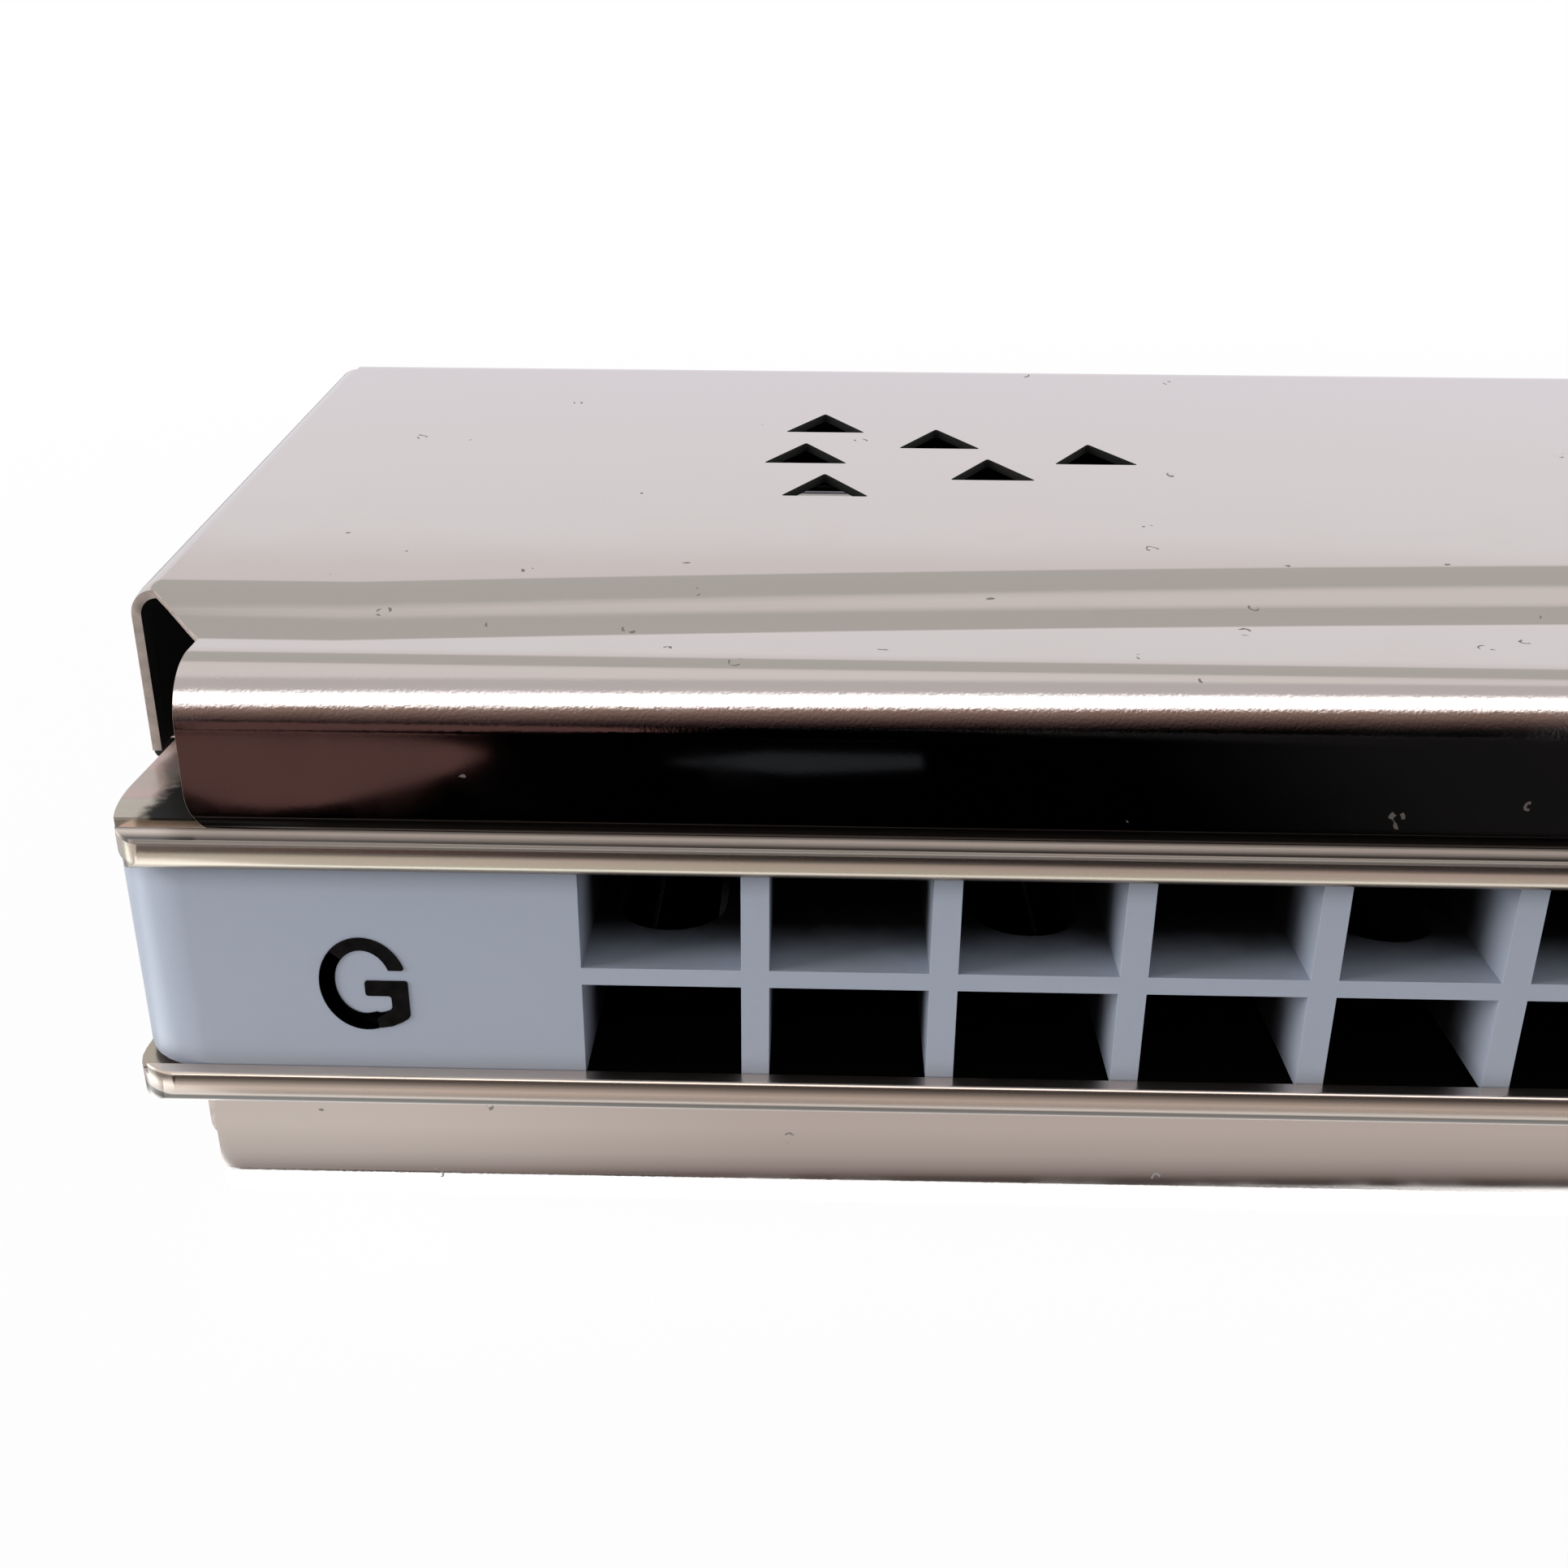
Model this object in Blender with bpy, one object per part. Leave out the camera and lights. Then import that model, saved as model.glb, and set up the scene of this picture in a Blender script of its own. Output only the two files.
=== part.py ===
"""Tremolo harmonica, built as separate pieces.

Two reed plates close the top and the bottom of a comb of cells, one reed to a cell, and two sheet metal
covers stand on the plates. Two through bolts clamp the stack at the end tabs. Every column of cells sounds
one note with two reeds, an upper and a lower one. Odd columns sound on blowing and hold their reeds inside,
even columns sound on drawing and hold them outside.

Metres, +Z up. +X runs along the instrument to the short reeds, and the player is on the -Y side. The origin
is the middle of the whole instrument.
"""

import math

import bmesh
import bpy
from mathutils import Matrix

MM = 0.001

# Seats
GAP = 0.3 * MM

# Comb
COLUMNS = 24
PITCH = 6.2 * MM
CELL_WIDTH = 5.27 * MM
WEB = 0.64 * MM
COMB_HEIGHT = 7.6 * MM
COMB_DEPTH = 32.0 * MM
COMB_END = 15.2 * MM
COMB_CORNER = 2.8 * MM
CHAMBER_BACK = 1.5 * MM
WEB_SLOT_WIDTH = 3.85 * MM
WEB_SLOT_FRONT = 2.7 * MM

# Reed plates
PLATE = 0.9 * MM
PLATE_CORNER = 2.2 * MM
BEAD_REACH = 0.65 * MM
BEAD_SEAT = 0.12 * MM
BEAD_LIFT = 0.03 * MM
BEAD_ROUND = 0.55 * MM
GROOVE_DEPTH = 0.4 * MM
GROOVE_FRONT = 0.1 * MM
GROOVE_WIDTH = 1.05 * MM

# Reeds
REED = 0.3 * MM
REED_ROOT = 8.0 * MM
TONGUE_WIDTH = 2.4 * MM
TONGUE_TIP = 2.2 * MM
TONGUE_LONG = 19.0 * MM
TONGUE_SHORT = 11.0 * MM
PAD_WIDTH = 3.0 * MM
PAD_LENGTH = 4.8 * MM
RIVET_BACK = 2.8 * MM
RIVET_RADIUS = 0.6 * MM
RIVET_HEAD_RADIUS = 1.1 * MM
RIVET_HEAD = 0.4 * MM
RIVET_SIDES = 8

# Covers
SHEET = 0.33 * MM
WALL_FRONT = 6.1 * MM
WALL_BACK = 33.6 * MM
WALL_OUT = 0.1 * MM
FOLD = 0.9 * MM
PANEL_FRONT = 6.9 * MM
PANEL_HEIGHT = 11.35 * MM
PANEL_RISE = math.radians(5.5)
PANEL_BACK = 34.0 * MM
BACK_ROUND = 1.5 * MM
BACK_LIP = 4.2 * MM
BACK_HEM = 0.6 * MM
LIP_FRONT = 0.45 * MM
LIP_LEAN = 0.1 * MM
LIP_WALL_TOP = 8.35 * MM
LIP_ROUND = 1.95 * MM
LIP_RISE = math.radians(3.5)
UPPER_LIP_SHORT = 3.1 * MM
LOWER_LIP_SHORT = 2.5 * MM
LIP_CORNER = 1.4 * MM
LIP_CORNER_RISE = 2.4 * MM
CREASE_BACK = 3.55 * MM
CREASE_BOW = 3.75 * MM
CREASE_STRAIGHT = 7.6 * MM
CREASE_TURN = math.radians(10)
VENT_SIDE = 3.4 * MM
VENT_HEIGHT = 2.68 * MM
VENTS_FROM_CELLS = (
    (7.8 * MM, 24.3 * MM),
    (12.6 * MM, 22.2 * MM),
    (7.0 * MM, 20.1 * MM),
    (18.9 * MM, 20.3 * MM),
    (14.5 * MM, 18.2 * MM),
    (7.8 * MM, 16.1 * MM),
)

# End tabs and through bolts
TAB_REACH = 1.3 * MM
TAB_FRONT = 8.2 * MM
TAB_BACK = 29.5 * MM
TAB_CORNER = 1.0 * MM
EAR_RADIUS = 2.7 * MM
EAR_CENTRE_OUT = 2.5 * MM
EAR_CENTRE_BACK = 19.0 * MM
BOLT_RADIUS = 1.0 * MM
BOLT_HEAD_RADIUS = 1.9 * MM
BOLT_HEAD = 1.1 * MM
NUT_RADIUS = 2.2 * MM
NUT_HEIGHT = 1.5 * MM
BOLT_END = 0.5 * MM
BOLT_SIDES = 12
NUT_SIDES = 6

# Screws between plates and comb
SCREW_RADIUS = 0.7 * MM
SCREW_HEAD_RADIUS = 1.3 * MM
SCREW_HEAD = 0.6 * MM
SCREW_LENGTH = 3.0 * MM
SCREW_SIDES = 8
SCREW_END_IN = 7.5 * MM
SCREW_END_BACKS = (10.0 * MM, 27.0 * MM)
SCREW_REAR_MARGIN = 1.7 * MM
SCREW_REAR_X = 30.0 * MM

# Share of a head's radius that its flat crown takes
RIVET_CROWN = 0.6
HEAD_CROWN = 0.7

# How finely round stretches are drawn
CORNER_STEPS = 8
SMALL_STEPS = 4
SLOT_STEPS = 12
BOW_SPANS = 12
SMOOTH_BELOW = math.radians(35)

# How far cutting bodies run past what they cut
OVERCUT = 1.0 * MM

BOTH_ENDS = (-1, 1)

# Sizes that follow
HALF_CELLS = COLUMNS * PITCH / 2
HALF_COMB = HALF_CELLS + COMB_END
COMB_TOP = COMB_HEIGHT / 2
PLATE_LOW = COMB_TOP + GAP
PLATE_TOP = PLATE_LOW + PLATE
GROOVE_FLOOR = PLATE_TOP - GROOVE_DEPTH
WALL_X = HALF_COMB + WALL_OUT
TAB_TOP = PLATE_TOP + GAP + SHEET
TAB_X = HALF_COMB + TAB_REACH
EAR_X = HALF_COMB + EAR_CENTRE_OUT
BOLT_HOLE = BOLT_RADIUS + GAP
REAR_REACH = PANEL_BACK + BACK_ROUND
MOUTH_Y = (BEAD_REACH - REAR_REACH) / 2
LIP_TOP_BACK = LIP_FRONT + LIP_LEAN + LIP_ROUND * (1 - math.sin(LIP_RISE))
LIP_TOP_HEIGHT = LIP_WALL_TOP + LIP_ROUND * math.cos(LIP_RISE)
SHOULDER_RUN = PANEL_FRONT - CREASE_BACK
BOW_X = HALF_COMB - CREASE_STRAIGHT
EDGE_X = WALL_X - FOLD


def column_x(column):
    """The middle of a column of cells, numbered from 0."""
    return (column + 0.5) * PITCH - HALF_CELLS


def tongue_length(column):
    """Reeds get shorter in even steps towards the high notes."""
    share = column / (COLUMNS - 1)
    return TONGUE_LONG + (TONGUE_SHORT - TONGUE_LONG) * share


def chamber_length(column):
    """Each chamber ends a little behind its reed's tip."""
    return REED_ROOT + tongue_length(column) + CHAMBER_BACK


def panel_z(back):
    """Height of the cover's flat panel, which rises towards the rear."""
    return PANEL_HEIGHT + (back - PANEL_FRONT) * math.tan(PANEL_RISE)


def crease_back(x):
    """Depth of the cover's crease: straight at the ends, and bowed to the rear between them."""
    return CREASE_BACK + CREASE_BOW * max(0, 1 - (x / BOW_X) ** 2)


def shoulder_point(x, share):
    """A point of the cover's outer surface behind the crease. The flat panel begins at a share of 1."""
    crease = crease_back(x)
    back = crease + SHOULDER_RUN * share
    if share >= 1:
        return (x, back, panel_z(back))
    rest = 1 - share
    low = LIP_TOP_HEIGHT + (crease - LIP_TOP_BACK) * math.tan(LIP_RISE)
    high = panel_z(crease + SHOULDER_RUN)
    z = low * rest ** 2 * (1 + 2 * share) + high * share ** 2 * (1 + 2 * rest)
    z += SHOULDER_RUN * math.tan(CREASE_TURN) * share * rest ** 2
    z -= SHOULDER_RUN * math.tan(PANEL_RISE) * share ** 2 * rest
    return (x, back, z)


def share_at(back):
    """Where a depth lies on the shoulder, at its straight ends."""
    return (back - CREASE_BACK) / SHOULDER_RUN


def arc(centre_x, centre_y, radius_x, radius_y, start, end, steps):
    """Points along an arc, with angles in degrees."""
    points = []
    for step in range(steps + 1):
        angle = math.radians(start + (end - start) * step / steps)
        points.append((centre_x + radius_x * math.cos(angle), centre_y + radius_y * math.sin(angle)))
    return points


def circle(centre_x, centre_y, radius, sides):
    """A ring of points round a hole or a shank."""
    return arc(centre_x, centre_y, radius, radius, 0, 360 * (sides - 1) / sides, sides - 1)


def rectangle(low_x, high_x, low_y, high_y):
    return [(low_x, low_y), (high_x, low_y), (high_x, high_y), (low_x, high_y)]


def mirrored(right_side):
    """A closed outline from its right half, which runs from the front to the rear."""
    return right_side + [(-x, y) for x, y in reversed(right_side)]


def ear_points():
    """The rounded ear that the through bolt passes, from the front to the rear."""
    return arc(EAR_X, MOUTH_Y + EAR_CENTRE_BACK, EAR_RADIUS, EAR_RADIUS, -90, 90, CORNER_STEPS)


def tab_points():
    """The end tab's outer edge with its ear, from the front to the rear."""
    ear = ear_points()
    centre_x = TAB_X - TAB_CORNER
    front = MOUTH_Y + TAB_FRONT + TAB_CORNER
    rear = MOUTH_Y + TAB_BACK - TAB_CORNER
    points = arc(centre_x, front, TAB_CORNER, TAB_CORNER, -90, 0, SMALL_STEPS)
    points += [(TAB_X, ear[0][1])] + ear + [(TAB_X, ear[-1][1])]
    return points + arc(centre_x, rear, TAB_CORNER, TAB_CORNER, 0, 90, SMALL_STEPS)


def plan_outline(front, corner, tabbed):
    """Outline of the comb or a plate seen from above, with its ears and, on a plate, its end tabs."""
    rear = MOUTH_Y + COMB_DEPTH
    side = arc(HALF_COMB - corner, front + corner, corner, corner, -90, 0, CORNER_STEPS)
    if tabbed:
        side.append((HALF_COMB, MOUTH_Y + TAB_FRONT))
        side.extend(tab_points())
        side.append((HALF_COMB, MOUTH_Y + TAB_BACK))
    else:
        ear = ear_points()
        side.append((HALF_COMB, ear[0][1]))
        side.extend(ear)
        side.append((HALF_COMB, ear[-1][1]))
    side.extend(arc(HALF_COMB - corner, rear - corner, corner, corner, 0, 90, SMALL_STEPS))
    return mirrored(side)


def extruded(bm, outline, low, high):
    """Adds a closed prism to the mesh, from an outline in X and Y."""
    ring = [bm.verts.new((x, y, low)) for x, y in outline]
    face = bm.faces.new(ring)
    grown = bmesh.ops.extrude_face_region(bm, geom=[face])
    top = [item for item in grown["geom"] if isinstance(item, bmesh.types.BMVert)]
    bmesh.ops.translate(bm, verts=top, vec=(0, 0, high - low))


def turned(bm, profile, centre_x, centre_y, sides):
    """Adds a turned body, from radius and height pairs that start and end on the axis."""
    rings = []
    for radius, z in profile:
        if radius == 0:
            rings.append([bm.verts.new((centre_x, centre_y, z))])
        else:
            rings.append([bm.verts.new((x, y, z)) for x, y in circle(centre_x, centre_y, radius, sides)])
    for lower, upper in zip(rings, rings[1:]):
        for side in range(sides):
            after = (side + 1) % sides
            corners = [lower[side % len(lower)], lower[after % len(lower)]]
            corners += [upper[after % len(upper)], upper[side % len(upper)]]
            unique = list(dict.fromkeys(corners))
            bm.faces.new(unique)


def collar(bm, inner, outer, low, high, centre_x, centre_y, sides):
    """Adds a closed ring, such as a nut, with flat sides."""
    rings = []
    for radius, z in ((inner, low), (outer, low), (outer, high), (inner, high)):
        rings.append([bm.verts.new((x, y, z)) for x, y in circle(centre_x, centre_y, radius, sides)])
    for index, ring in enumerate(rings):
        beside = rings[(index + 1) % len(rings)]
        for side in range(sides):
            after = (side + 1) % sides
            bm.faces.new([ring[side], ring[after], beside[after], beside[side]])


def material(name, colour, metallic, roughness):
    made = bpy.data.materials.new(name)
    made.use_nodes = True
    shader = made.node_tree.nodes["Principled BSDF"]
    shader.inputs["Base Color"].default_value = (*colour, 1)
    shader.inputs["Metallic"].default_value = metallic
    shader.inputs["Roughness"].default_value = roughness
    return made


def placed(name, bm, finish, location=(0, 0, 0)):
    """Turns a mesh under construction into a named object."""
    bmesh.ops.recalc_face_normals(bm, faces=bm.faces)
    mesh = bpy.data.meshes.new(name)
    bm.to_mesh(mesh)
    bm.free()
    mesh.materials.append(finish)
    piece = bpy.data.objects.new(name, mesh)
    piece.location = location
    bpy.context.scene.collection.objects.link(piece)
    return piece


def shaded(piece):
    """Smooth shading over round stretches, with sharp edges kept."""
    piece.data.shade_smooth()
    piece.data.set_sharp_from_angle(angle=SMOOTH_BELOW)


def settle(piece):
    """Replaces a piece's mesh by the result of its modifiers."""
    bpy.context.view_layer.update()
    evaluated = piece.evaluated_get(bpy.context.evaluated_depsgraph_get())
    settled = bpy.data.meshes.new_from_object(evaluated)
    piece.modifiers.clear()
    old = piece.data
    piece.data = settled
    settled.name = piece.name
    bpy.data.meshes.remove(old)


def carve(piece, tool_bm, operation="DIFFERENCE"):
    """Cuts a piece with closed bodies, and deletes them afterwards."""
    tool = placed("cutter", tool_bm, piece.data.materials[0])
    tool.hide_render = True
    tool.display_type = "WIRE"
    cut = piece.modifiers.new("cut", "BOOLEAN")
    cut.operation = operation
    cut.solver = "EXACT"
    cut.object = tool
    settle(piece)
    bpy.data.objects.remove(tool)


def screw_places():
    """Where the plate screws stand: in the solid ends of the comb, and in its rear wall."""
    places = []
    for end in BOTH_ENDS:
        for back in SCREW_END_BACKS:
            places.append((end * (HALF_COMB - SCREW_END_IN), MOUTH_Y + back))
        places.append((end * SCREW_REAR_X, MOUTH_Y + COMB_DEPTH - SCREW_REAR_MARGIN))
    return places


def rivet_y():
    return MOUTH_Y + REED_ROOT - RIVET_BACK


def make_comb(finish):
    bm = bmesh.new()
    extruded(bm, plan_outline(MOUTH_Y, COMB_CORNER, False), -COMB_TOP, COMB_TOP)
    comb = placed("comb", bm, finish)
    cells = bmesh.new()
    for column in range(COLUMNS):
        x = column_x(column)
        back = MOUTH_Y + chamber_length(column)
        cell = rectangle(x - CELL_WIDTH / 2, x + CELL_WIDTH / 2, MOUTH_Y - OVERCUT, back)
        extruded(cells, cell, WEB / 2, COMB_TOP + OVERCUT)
        extruded(cells, cell, -COMB_TOP - OVERCUT, -WEB / 2)
    carve(comb, cells)
    slots = bmesh.new()
    half = WEB_SLOT_WIDTH / 2
    for column in range(0, COLUMNS, 2):
        x = column_x(column)
        back = MOUTH_Y + chamber_length(column) - CHAMBER_BACK
        nose = arc(x, MOUTH_Y + WEB_SLOT_FRONT + half, half, half, 180, 360, SLOT_STEPS)
        extruded(slots, nose + [(x + half, back), (x - half, back)], -COMB_TOP, COMB_TOP)
    carve(comb, slots)
    holes = bmesh.new()
    for end in BOTH_ENDS:
        bolt = circle(end * EAR_X, MOUTH_Y + EAR_CENTRE_BACK, BOLT_HOLE, BOLT_SIDES)
        extruded(holes, bolt, -COMB_TOP - OVERCUT, COMB_TOP + OVERCUT)
    for x, y in screw_places():
        ring = circle(x, y, SCREW_RADIUS + GAP, SCREW_SIDES)
        floor = PLATE_LOW - SCREW_LENGTH - GAP
        extruded(holes, ring, floor, COMB_TOP + OVERCUT)
        extruded(holes, ring, -COMB_TOP - OVERCUT, -floor)
    carve(comb, holes)
    shaded(comb)
    return comb


def plate_profile():
    """Section of the upper plate in depth and height: flat sheet, groove for the cover's lip, front bead."""
    rear = MOUTH_Y + COMB_DEPTH
    bead_low = COMB_TOP + BEAD_LIFT
    bead_middle = (bead_low + PLATE_TOP) / 2
    bead_centre = MOUTH_Y - BEAD_REACH + BEAD_ROUND
    points = [(rear, PLATE_LOW), (MOUTH_Y - BEAD_SEAT, PLATE_LOW), (MOUTH_Y - BEAD_SEAT, bead_low)]
    points += arc(bead_centre, bead_middle, BEAD_ROUND, PLATE_TOP - bead_middle, 265, 90, CORNER_STEPS)
    groove = MOUTH_Y + GROOVE_FRONT
    points += [(groove, PLATE_TOP), (groove, GROOVE_FLOOR)]
    points += [(groove + GROOVE_WIDTH, GROOVE_FLOOR), (groove + GROOVE_WIDTH, PLATE_TOP)]
    points.append((rear, PLATE_TOP))
    return points


def make_plate(name, side, finish):
    bm = bmesh.new()
    reach = TAB_X + EAR_RADIUS * 2
    extruded(bm, plate_profile(), -reach, reach)
    bm.transform(Matrix(((0, 0, 1, 0), (1, 0, 0, 0), (0, 1, 0, 0), (0, 0, 0, 1))))
    plate = placed(name, bm, finish)
    plan = bmesh.new()
    outline = plan_outline(MOUTH_Y - BEAD_REACH, PLATE_CORNER, True)
    extruded(plan, outline, COMB_TOP - OVERCUT, PLATE_TOP + OVERCUT)
    carve(plate, plan, "INTERSECT")
    holes = bmesh.new()
    low = COMB_TOP - OVERCUT
    high = PLATE_TOP + OVERCUT
    half_slot = TONGUE_WIDTH / 2 + GAP
    for column in range(COLUMNS):
        x = column_x(column)
        root = MOUTH_Y + REED_ROOT
        slot = rectangle(x - half_slot, x + half_slot, root, root + tongue_length(column) + GAP)
        extruded(holes, slot, low, high)
    for end in BOTH_ENDS:
        bolt = circle(end * EAR_X, MOUTH_Y + EAR_CENTRE_BACK, BOLT_HOLE, BOLT_SIDES)
        extruded(holes, bolt, low, high)
    carve(plate, holes)
    add_fasteners(plate)
    if side < 0:
        turn_over(plate)
    shaded(plate)
    return plate


def turn_over(piece):
    """Mirrors a finished mesh from the upper side to the lower side."""
    bm = bmesh.new()
    bm.from_mesh(piece.data)
    bmesh.ops.scale(bm, vec=(1, 1, -1), verts=bm.verts)
    bmesh.ops.reverse_faces(bm, faces=bm.faces)
    bm.to_mesh(piece.data)
    bm.free()


def straight_row(half, back, z):
    return [(-half, back, z), (half, back, z)]


def bowed_row(half, share):
    """A row behind the crease, which follows the crease's bow."""
    points = [shoulder_point(-half, share)]
    for span in range(BOW_SPANS + 1):
        points.append(shoulder_point(BOW_X * (2 * span / BOW_SPANS - 1), share))
    points.append(shoulder_point(half, share))
    return points


def lip_rows(lip_x):
    """Rows of the front lip: rounded lower corners, leaning front, round top."""
    rows = []
    foot = GROOVE_FLOOR + GAP
    corner = arc(lip_x - LIP_CORNER, foot + LIP_CORNER_RISE, LIP_CORNER, LIP_CORNER_RISE, -90, 0, SMALL_STEPS)
    for x, z in corner:
        lean = LIP_LEAN * (z - foot) / (LIP_WALL_TOP - foot)
        rows.append(straight_row(x, LIP_FRONT + lean, z))
    centre = LIP_FRONT + LIP_LEAN + LIP_ROUND
    end = 90 + math.degrees(LIP_RISE)
    for back, z in arc(centre, LIP_WALL_TOP, LIP_ROUND, LIP_ROUND, 180, end, CORNER_STEPS):
        rows.append(straight_row(lip_x, back, z))
    return rows


def shoulder_rows(lip_x):
    """Rows from the crease to where the end walls begin. Their free ends slant outwards."""
    rows = []
    for back in (CREASE_BACK, (2 * CREASE_BACK + WALL_FRONT) / 3, (CREASE_BACK + 2 * WALL_FRONT) / 3):
        slant = (back - CREASE_BACK) / (WALL_FRONT - CREASE_BACK)
        rows.append(bowed_row(lip_x + (EDGE_X - lip_x) * slant, share_at(back)))
    return rows


def rear_rows():
    """Rows behind the panel: round rear edge, rear lip and the hem rolled inwards under it."""
    top = panel_z(PANEL_BACK)
    start = 90 + math.degrees(PANEL_RISE)
    rows = []
    for back, z in arc(PANEL_BACK, top - BACK_ROUND, BACK_ROUND, BACK_ROUND, start, 0, CORNER_STEPS):
        rows.append(straight_row(EDGE_X, back, z))
    low = top - BACK_ROUND - BACK_LIP
    for back, z in arc(REAR_REACH - BACK_HEM, low, BACK_HEM, BACK_HEM, 0, -180, CORNER_STEPS):
        rows.append(straight_row(EDGE_X - FOLD, back, z))
    return rows


def wall_foot(back):
    """The end wall stands on the plate, and its foot rises by the sheet's thickness to the tab."""
    before = (TAB_FRONT - back) / (TAB_FRONT - WALL_FRONT)
    behind = (back - TAB_BACK) / (WALL_BACK - TAB_BACK)
    return TAB_TOP - SHEET * max(before, behind, 0)


def wall_chain(back, z):
    """The end wall below one row: foot, top of the flat wall, then the fold up to the panel's edge."""
    chain = [(WALL_X, back, wall_foot(back))]
    chain += [(x, back, height) for x, height in arc(WALL_X - FOLD, z - FOLD, FOLD, FOLD, 0, 90, SMALL_STEPS)]
    return chain


def skin(bm, near, far):
    """Faces between two rows: a strip where they have as many points, and one flat face elsewhere."""
    if len(near) == len(far):
        for step in range(len(near) - 1):
            bm.faces.new([near[step], near[step + 1], far[step + 1], far[step]])
    else:
        bm.faces.new(near + far[::-1])


def make_cover(name, side, finish):
    bm = bmesh.new()
    lip_x = HALF_COMB - (UPPER_LIP_SHORT if side > 0 else LOWER_LIP_SHORT)
    rows = [(points, False) for points in lip_rows(lip_x) + shoulder_rows(lip_x)]
    for back in (WALL_FRONT, PANEL_FRONT, TAB_FRONT):
        rows.append((bowed_row(EDGE_X, share_at(back)), True))
    for back in (TAB_BACK, WALL_BACK):
        rows.append((straight_row(EDGE_X, back, panel_z(back)), True))
    rows += [(points, False) for points in rear_rows()]
    across = []
    walls = []
    for points, walled in rows:
        across.append([bm.verts.new((x, MOUTH_Y + back, z)) for x, back, z in points])
        if walled:
            edge_back, edge_z = points[0][1:]
            chain = wall_chain(edge_back, edge_z)[:-1]
            left = [bm.verts.new((-x, MOUTH_Y + back, z)) for x, back, z in chain] + [across[-1][0]]
            right = [bm.verts.new((x, MOUTH_Y + back, z)) for x, back, z in chain] + [across[-1][-1]]
            walls.append((left, right[::-1]))
    for near, far in zip(across, across[1:]):
        skin(bm, near, far)
    for near, far in zip(walls, walls[1:]):
        skin(bm, near[0], far[0])
        skin(bm, near[1], far[1])
    tab_near, tab_far = walls[-3], walls[-2]
    add_tab(bm, tab_near[0][0], tab_far[0][0], -1)
    add_tab(bm, tab_near[1][-1], tab_far[1][-1], 1)
    mesh = bpy.data.meshes.new(name)
    bm.to_mesh(mesh)
    bm.free()
    mesh.materials.append(finish)
    cover = bpy.data.objects.new(name, mesh)
    bpy.context.scene.collection.objects.link(cover)
    wall = cover.modifiers.new("sheet", "SOLIDIFY")
    wall.thickness = SHEET
    wall.offset = -1
    wall.use_even_offset = True
    wall.use_quality_normals = True
    settle(cover)
    holes = bmesh.new()
    for end in BOTH_ENDS:
        bolt = circle(end * EAR_X, MOUTH_Y + EAR_CENTRE_BACK, BOLT_HOLE, BOLT_SIDES)
        extruded(holes, bolt, TAB_TOP - SHEET - OVERCUT, TAB_TOP + OVERCUT)
        for from_cells, back in VENTS_FROM_CELLS:
            x = end * (HALF_CELLS - (PITCH - CELL_WIDTH) / 2 - from_cells)
            base = MOUTH_Y + back
            vent = [(x - VENT_SIDE / 2, base), (x + VENT_SIDE / 2, base), (x, base + VENT_HEIGHT)]
            extruded(holes, vent, panel_z(back) - SHEET - OVERCUT, panel_z(back + VENT_HEIGHT) + OVERCUT)
    carve(cover, holes)
    if side < 0:
        turn_over(cover)
    shaded(cover)
    return cover


def add_tab(bm, near_foot, far_foot, end):
    """The flat tab turned outwards at the foot of an end wall, with its ear for the bolt."""
    outer = [bm.verts.new((end * x, y, TAB_TOP)) for x, y in reversed(tab_points())]
    ring = [near_foot, far_foot] + outer
    if end > 0:
        ring.reverse()
    bm.faces.new(ring)


def make_reed(name, column, side, outside, finish):
    """One reed: a riveted pad and a tapering tongue, with its origin where the tongue leaves the pad."""
    bm = bmesh.new()
    length = tongue_length(column)
    outline = [(-PAD_WIDTH / 2, -PAD_LENGTH), (PAD_WIDTH / 2, -PAD_LENGTH), (PAD_WIDTH / 2, -GAP)]
    outline += [(TONGUE_WIDTH / 2, 0), (TONGUE_TIP / 2, length), (-TONGUE_TIP / 2, length)]
    outline += [(-TONGUE_WIDTH / 2, 0), (-PAD_WIDTH / 2, -GAP)]
    extruded(bm, outline, -REED / 2, REED / 2)
    height = PLATE_TOP + GAP + REED / 2 if outside else PLATE_LOW - GAP - REED / 2
    reed = placed(name, bm, finish, (column_x(column), MOUTH_Y + REED_ROOT, side * height))
    hole = bmesh.new()
    extruded(hole, circle(reed.location.x, rivet_y(), RIVET_RADIUS + GAP, RIVET_SIDES),
             reed.location.z - OVERCUT, reed.location.z + OVERCUT)
    carve(reed, hole)
    return reed


def rivet_profile(outside):
    """Radius and height pairs of a rivet: shank from inside the plate, round head over the pad."""
    middle = (PLATE_LOW + PLATE_TOP) / 2
    if outside:
        pad_face, way = PLATE_TOP + GAP + REED + GAP, 1
    else:
        pad_face, way = PLATE_LOW - GAP - REED - GAP, -1
    crown = pad_face + way * RIVET_HEAD
    profile = [(0, middle), (RIVET_RADIUS, middle), (RIVET_RADIUS, pad_face)]
    profile += [(RIVET_HEAD_RADIUS, pad_face), (RIVET_HEAD_RADIUS * RIVET_CROWN, crown), (0, crown)]
    return profile


def screw_profile():
    """Radius and height pairs of a plate screw: tip in the comb, shank through the plate, low round head."""
    tip = PLATE_LOW - SCREW_LENGTH
    crown = PLATE_TOP + SCREW_HEAD
    profile = [(0, tip), (SCREW_RADIUS, tip), (SCREW_RADIUS, PLATE_TOP - PLATE / 2)]
    profile += [(SCREW_HEAD_RADIUS, PLATE_TOP - PLATE / 2), (SCREW_HEAD_RADIUS, PLATE_TOP + SCREW_HEAD / 2)]
    profile += [(SCREW_HEAD_RADIUS * HEAD_CROWN, crown), (0, crown)]
    return profile


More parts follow.
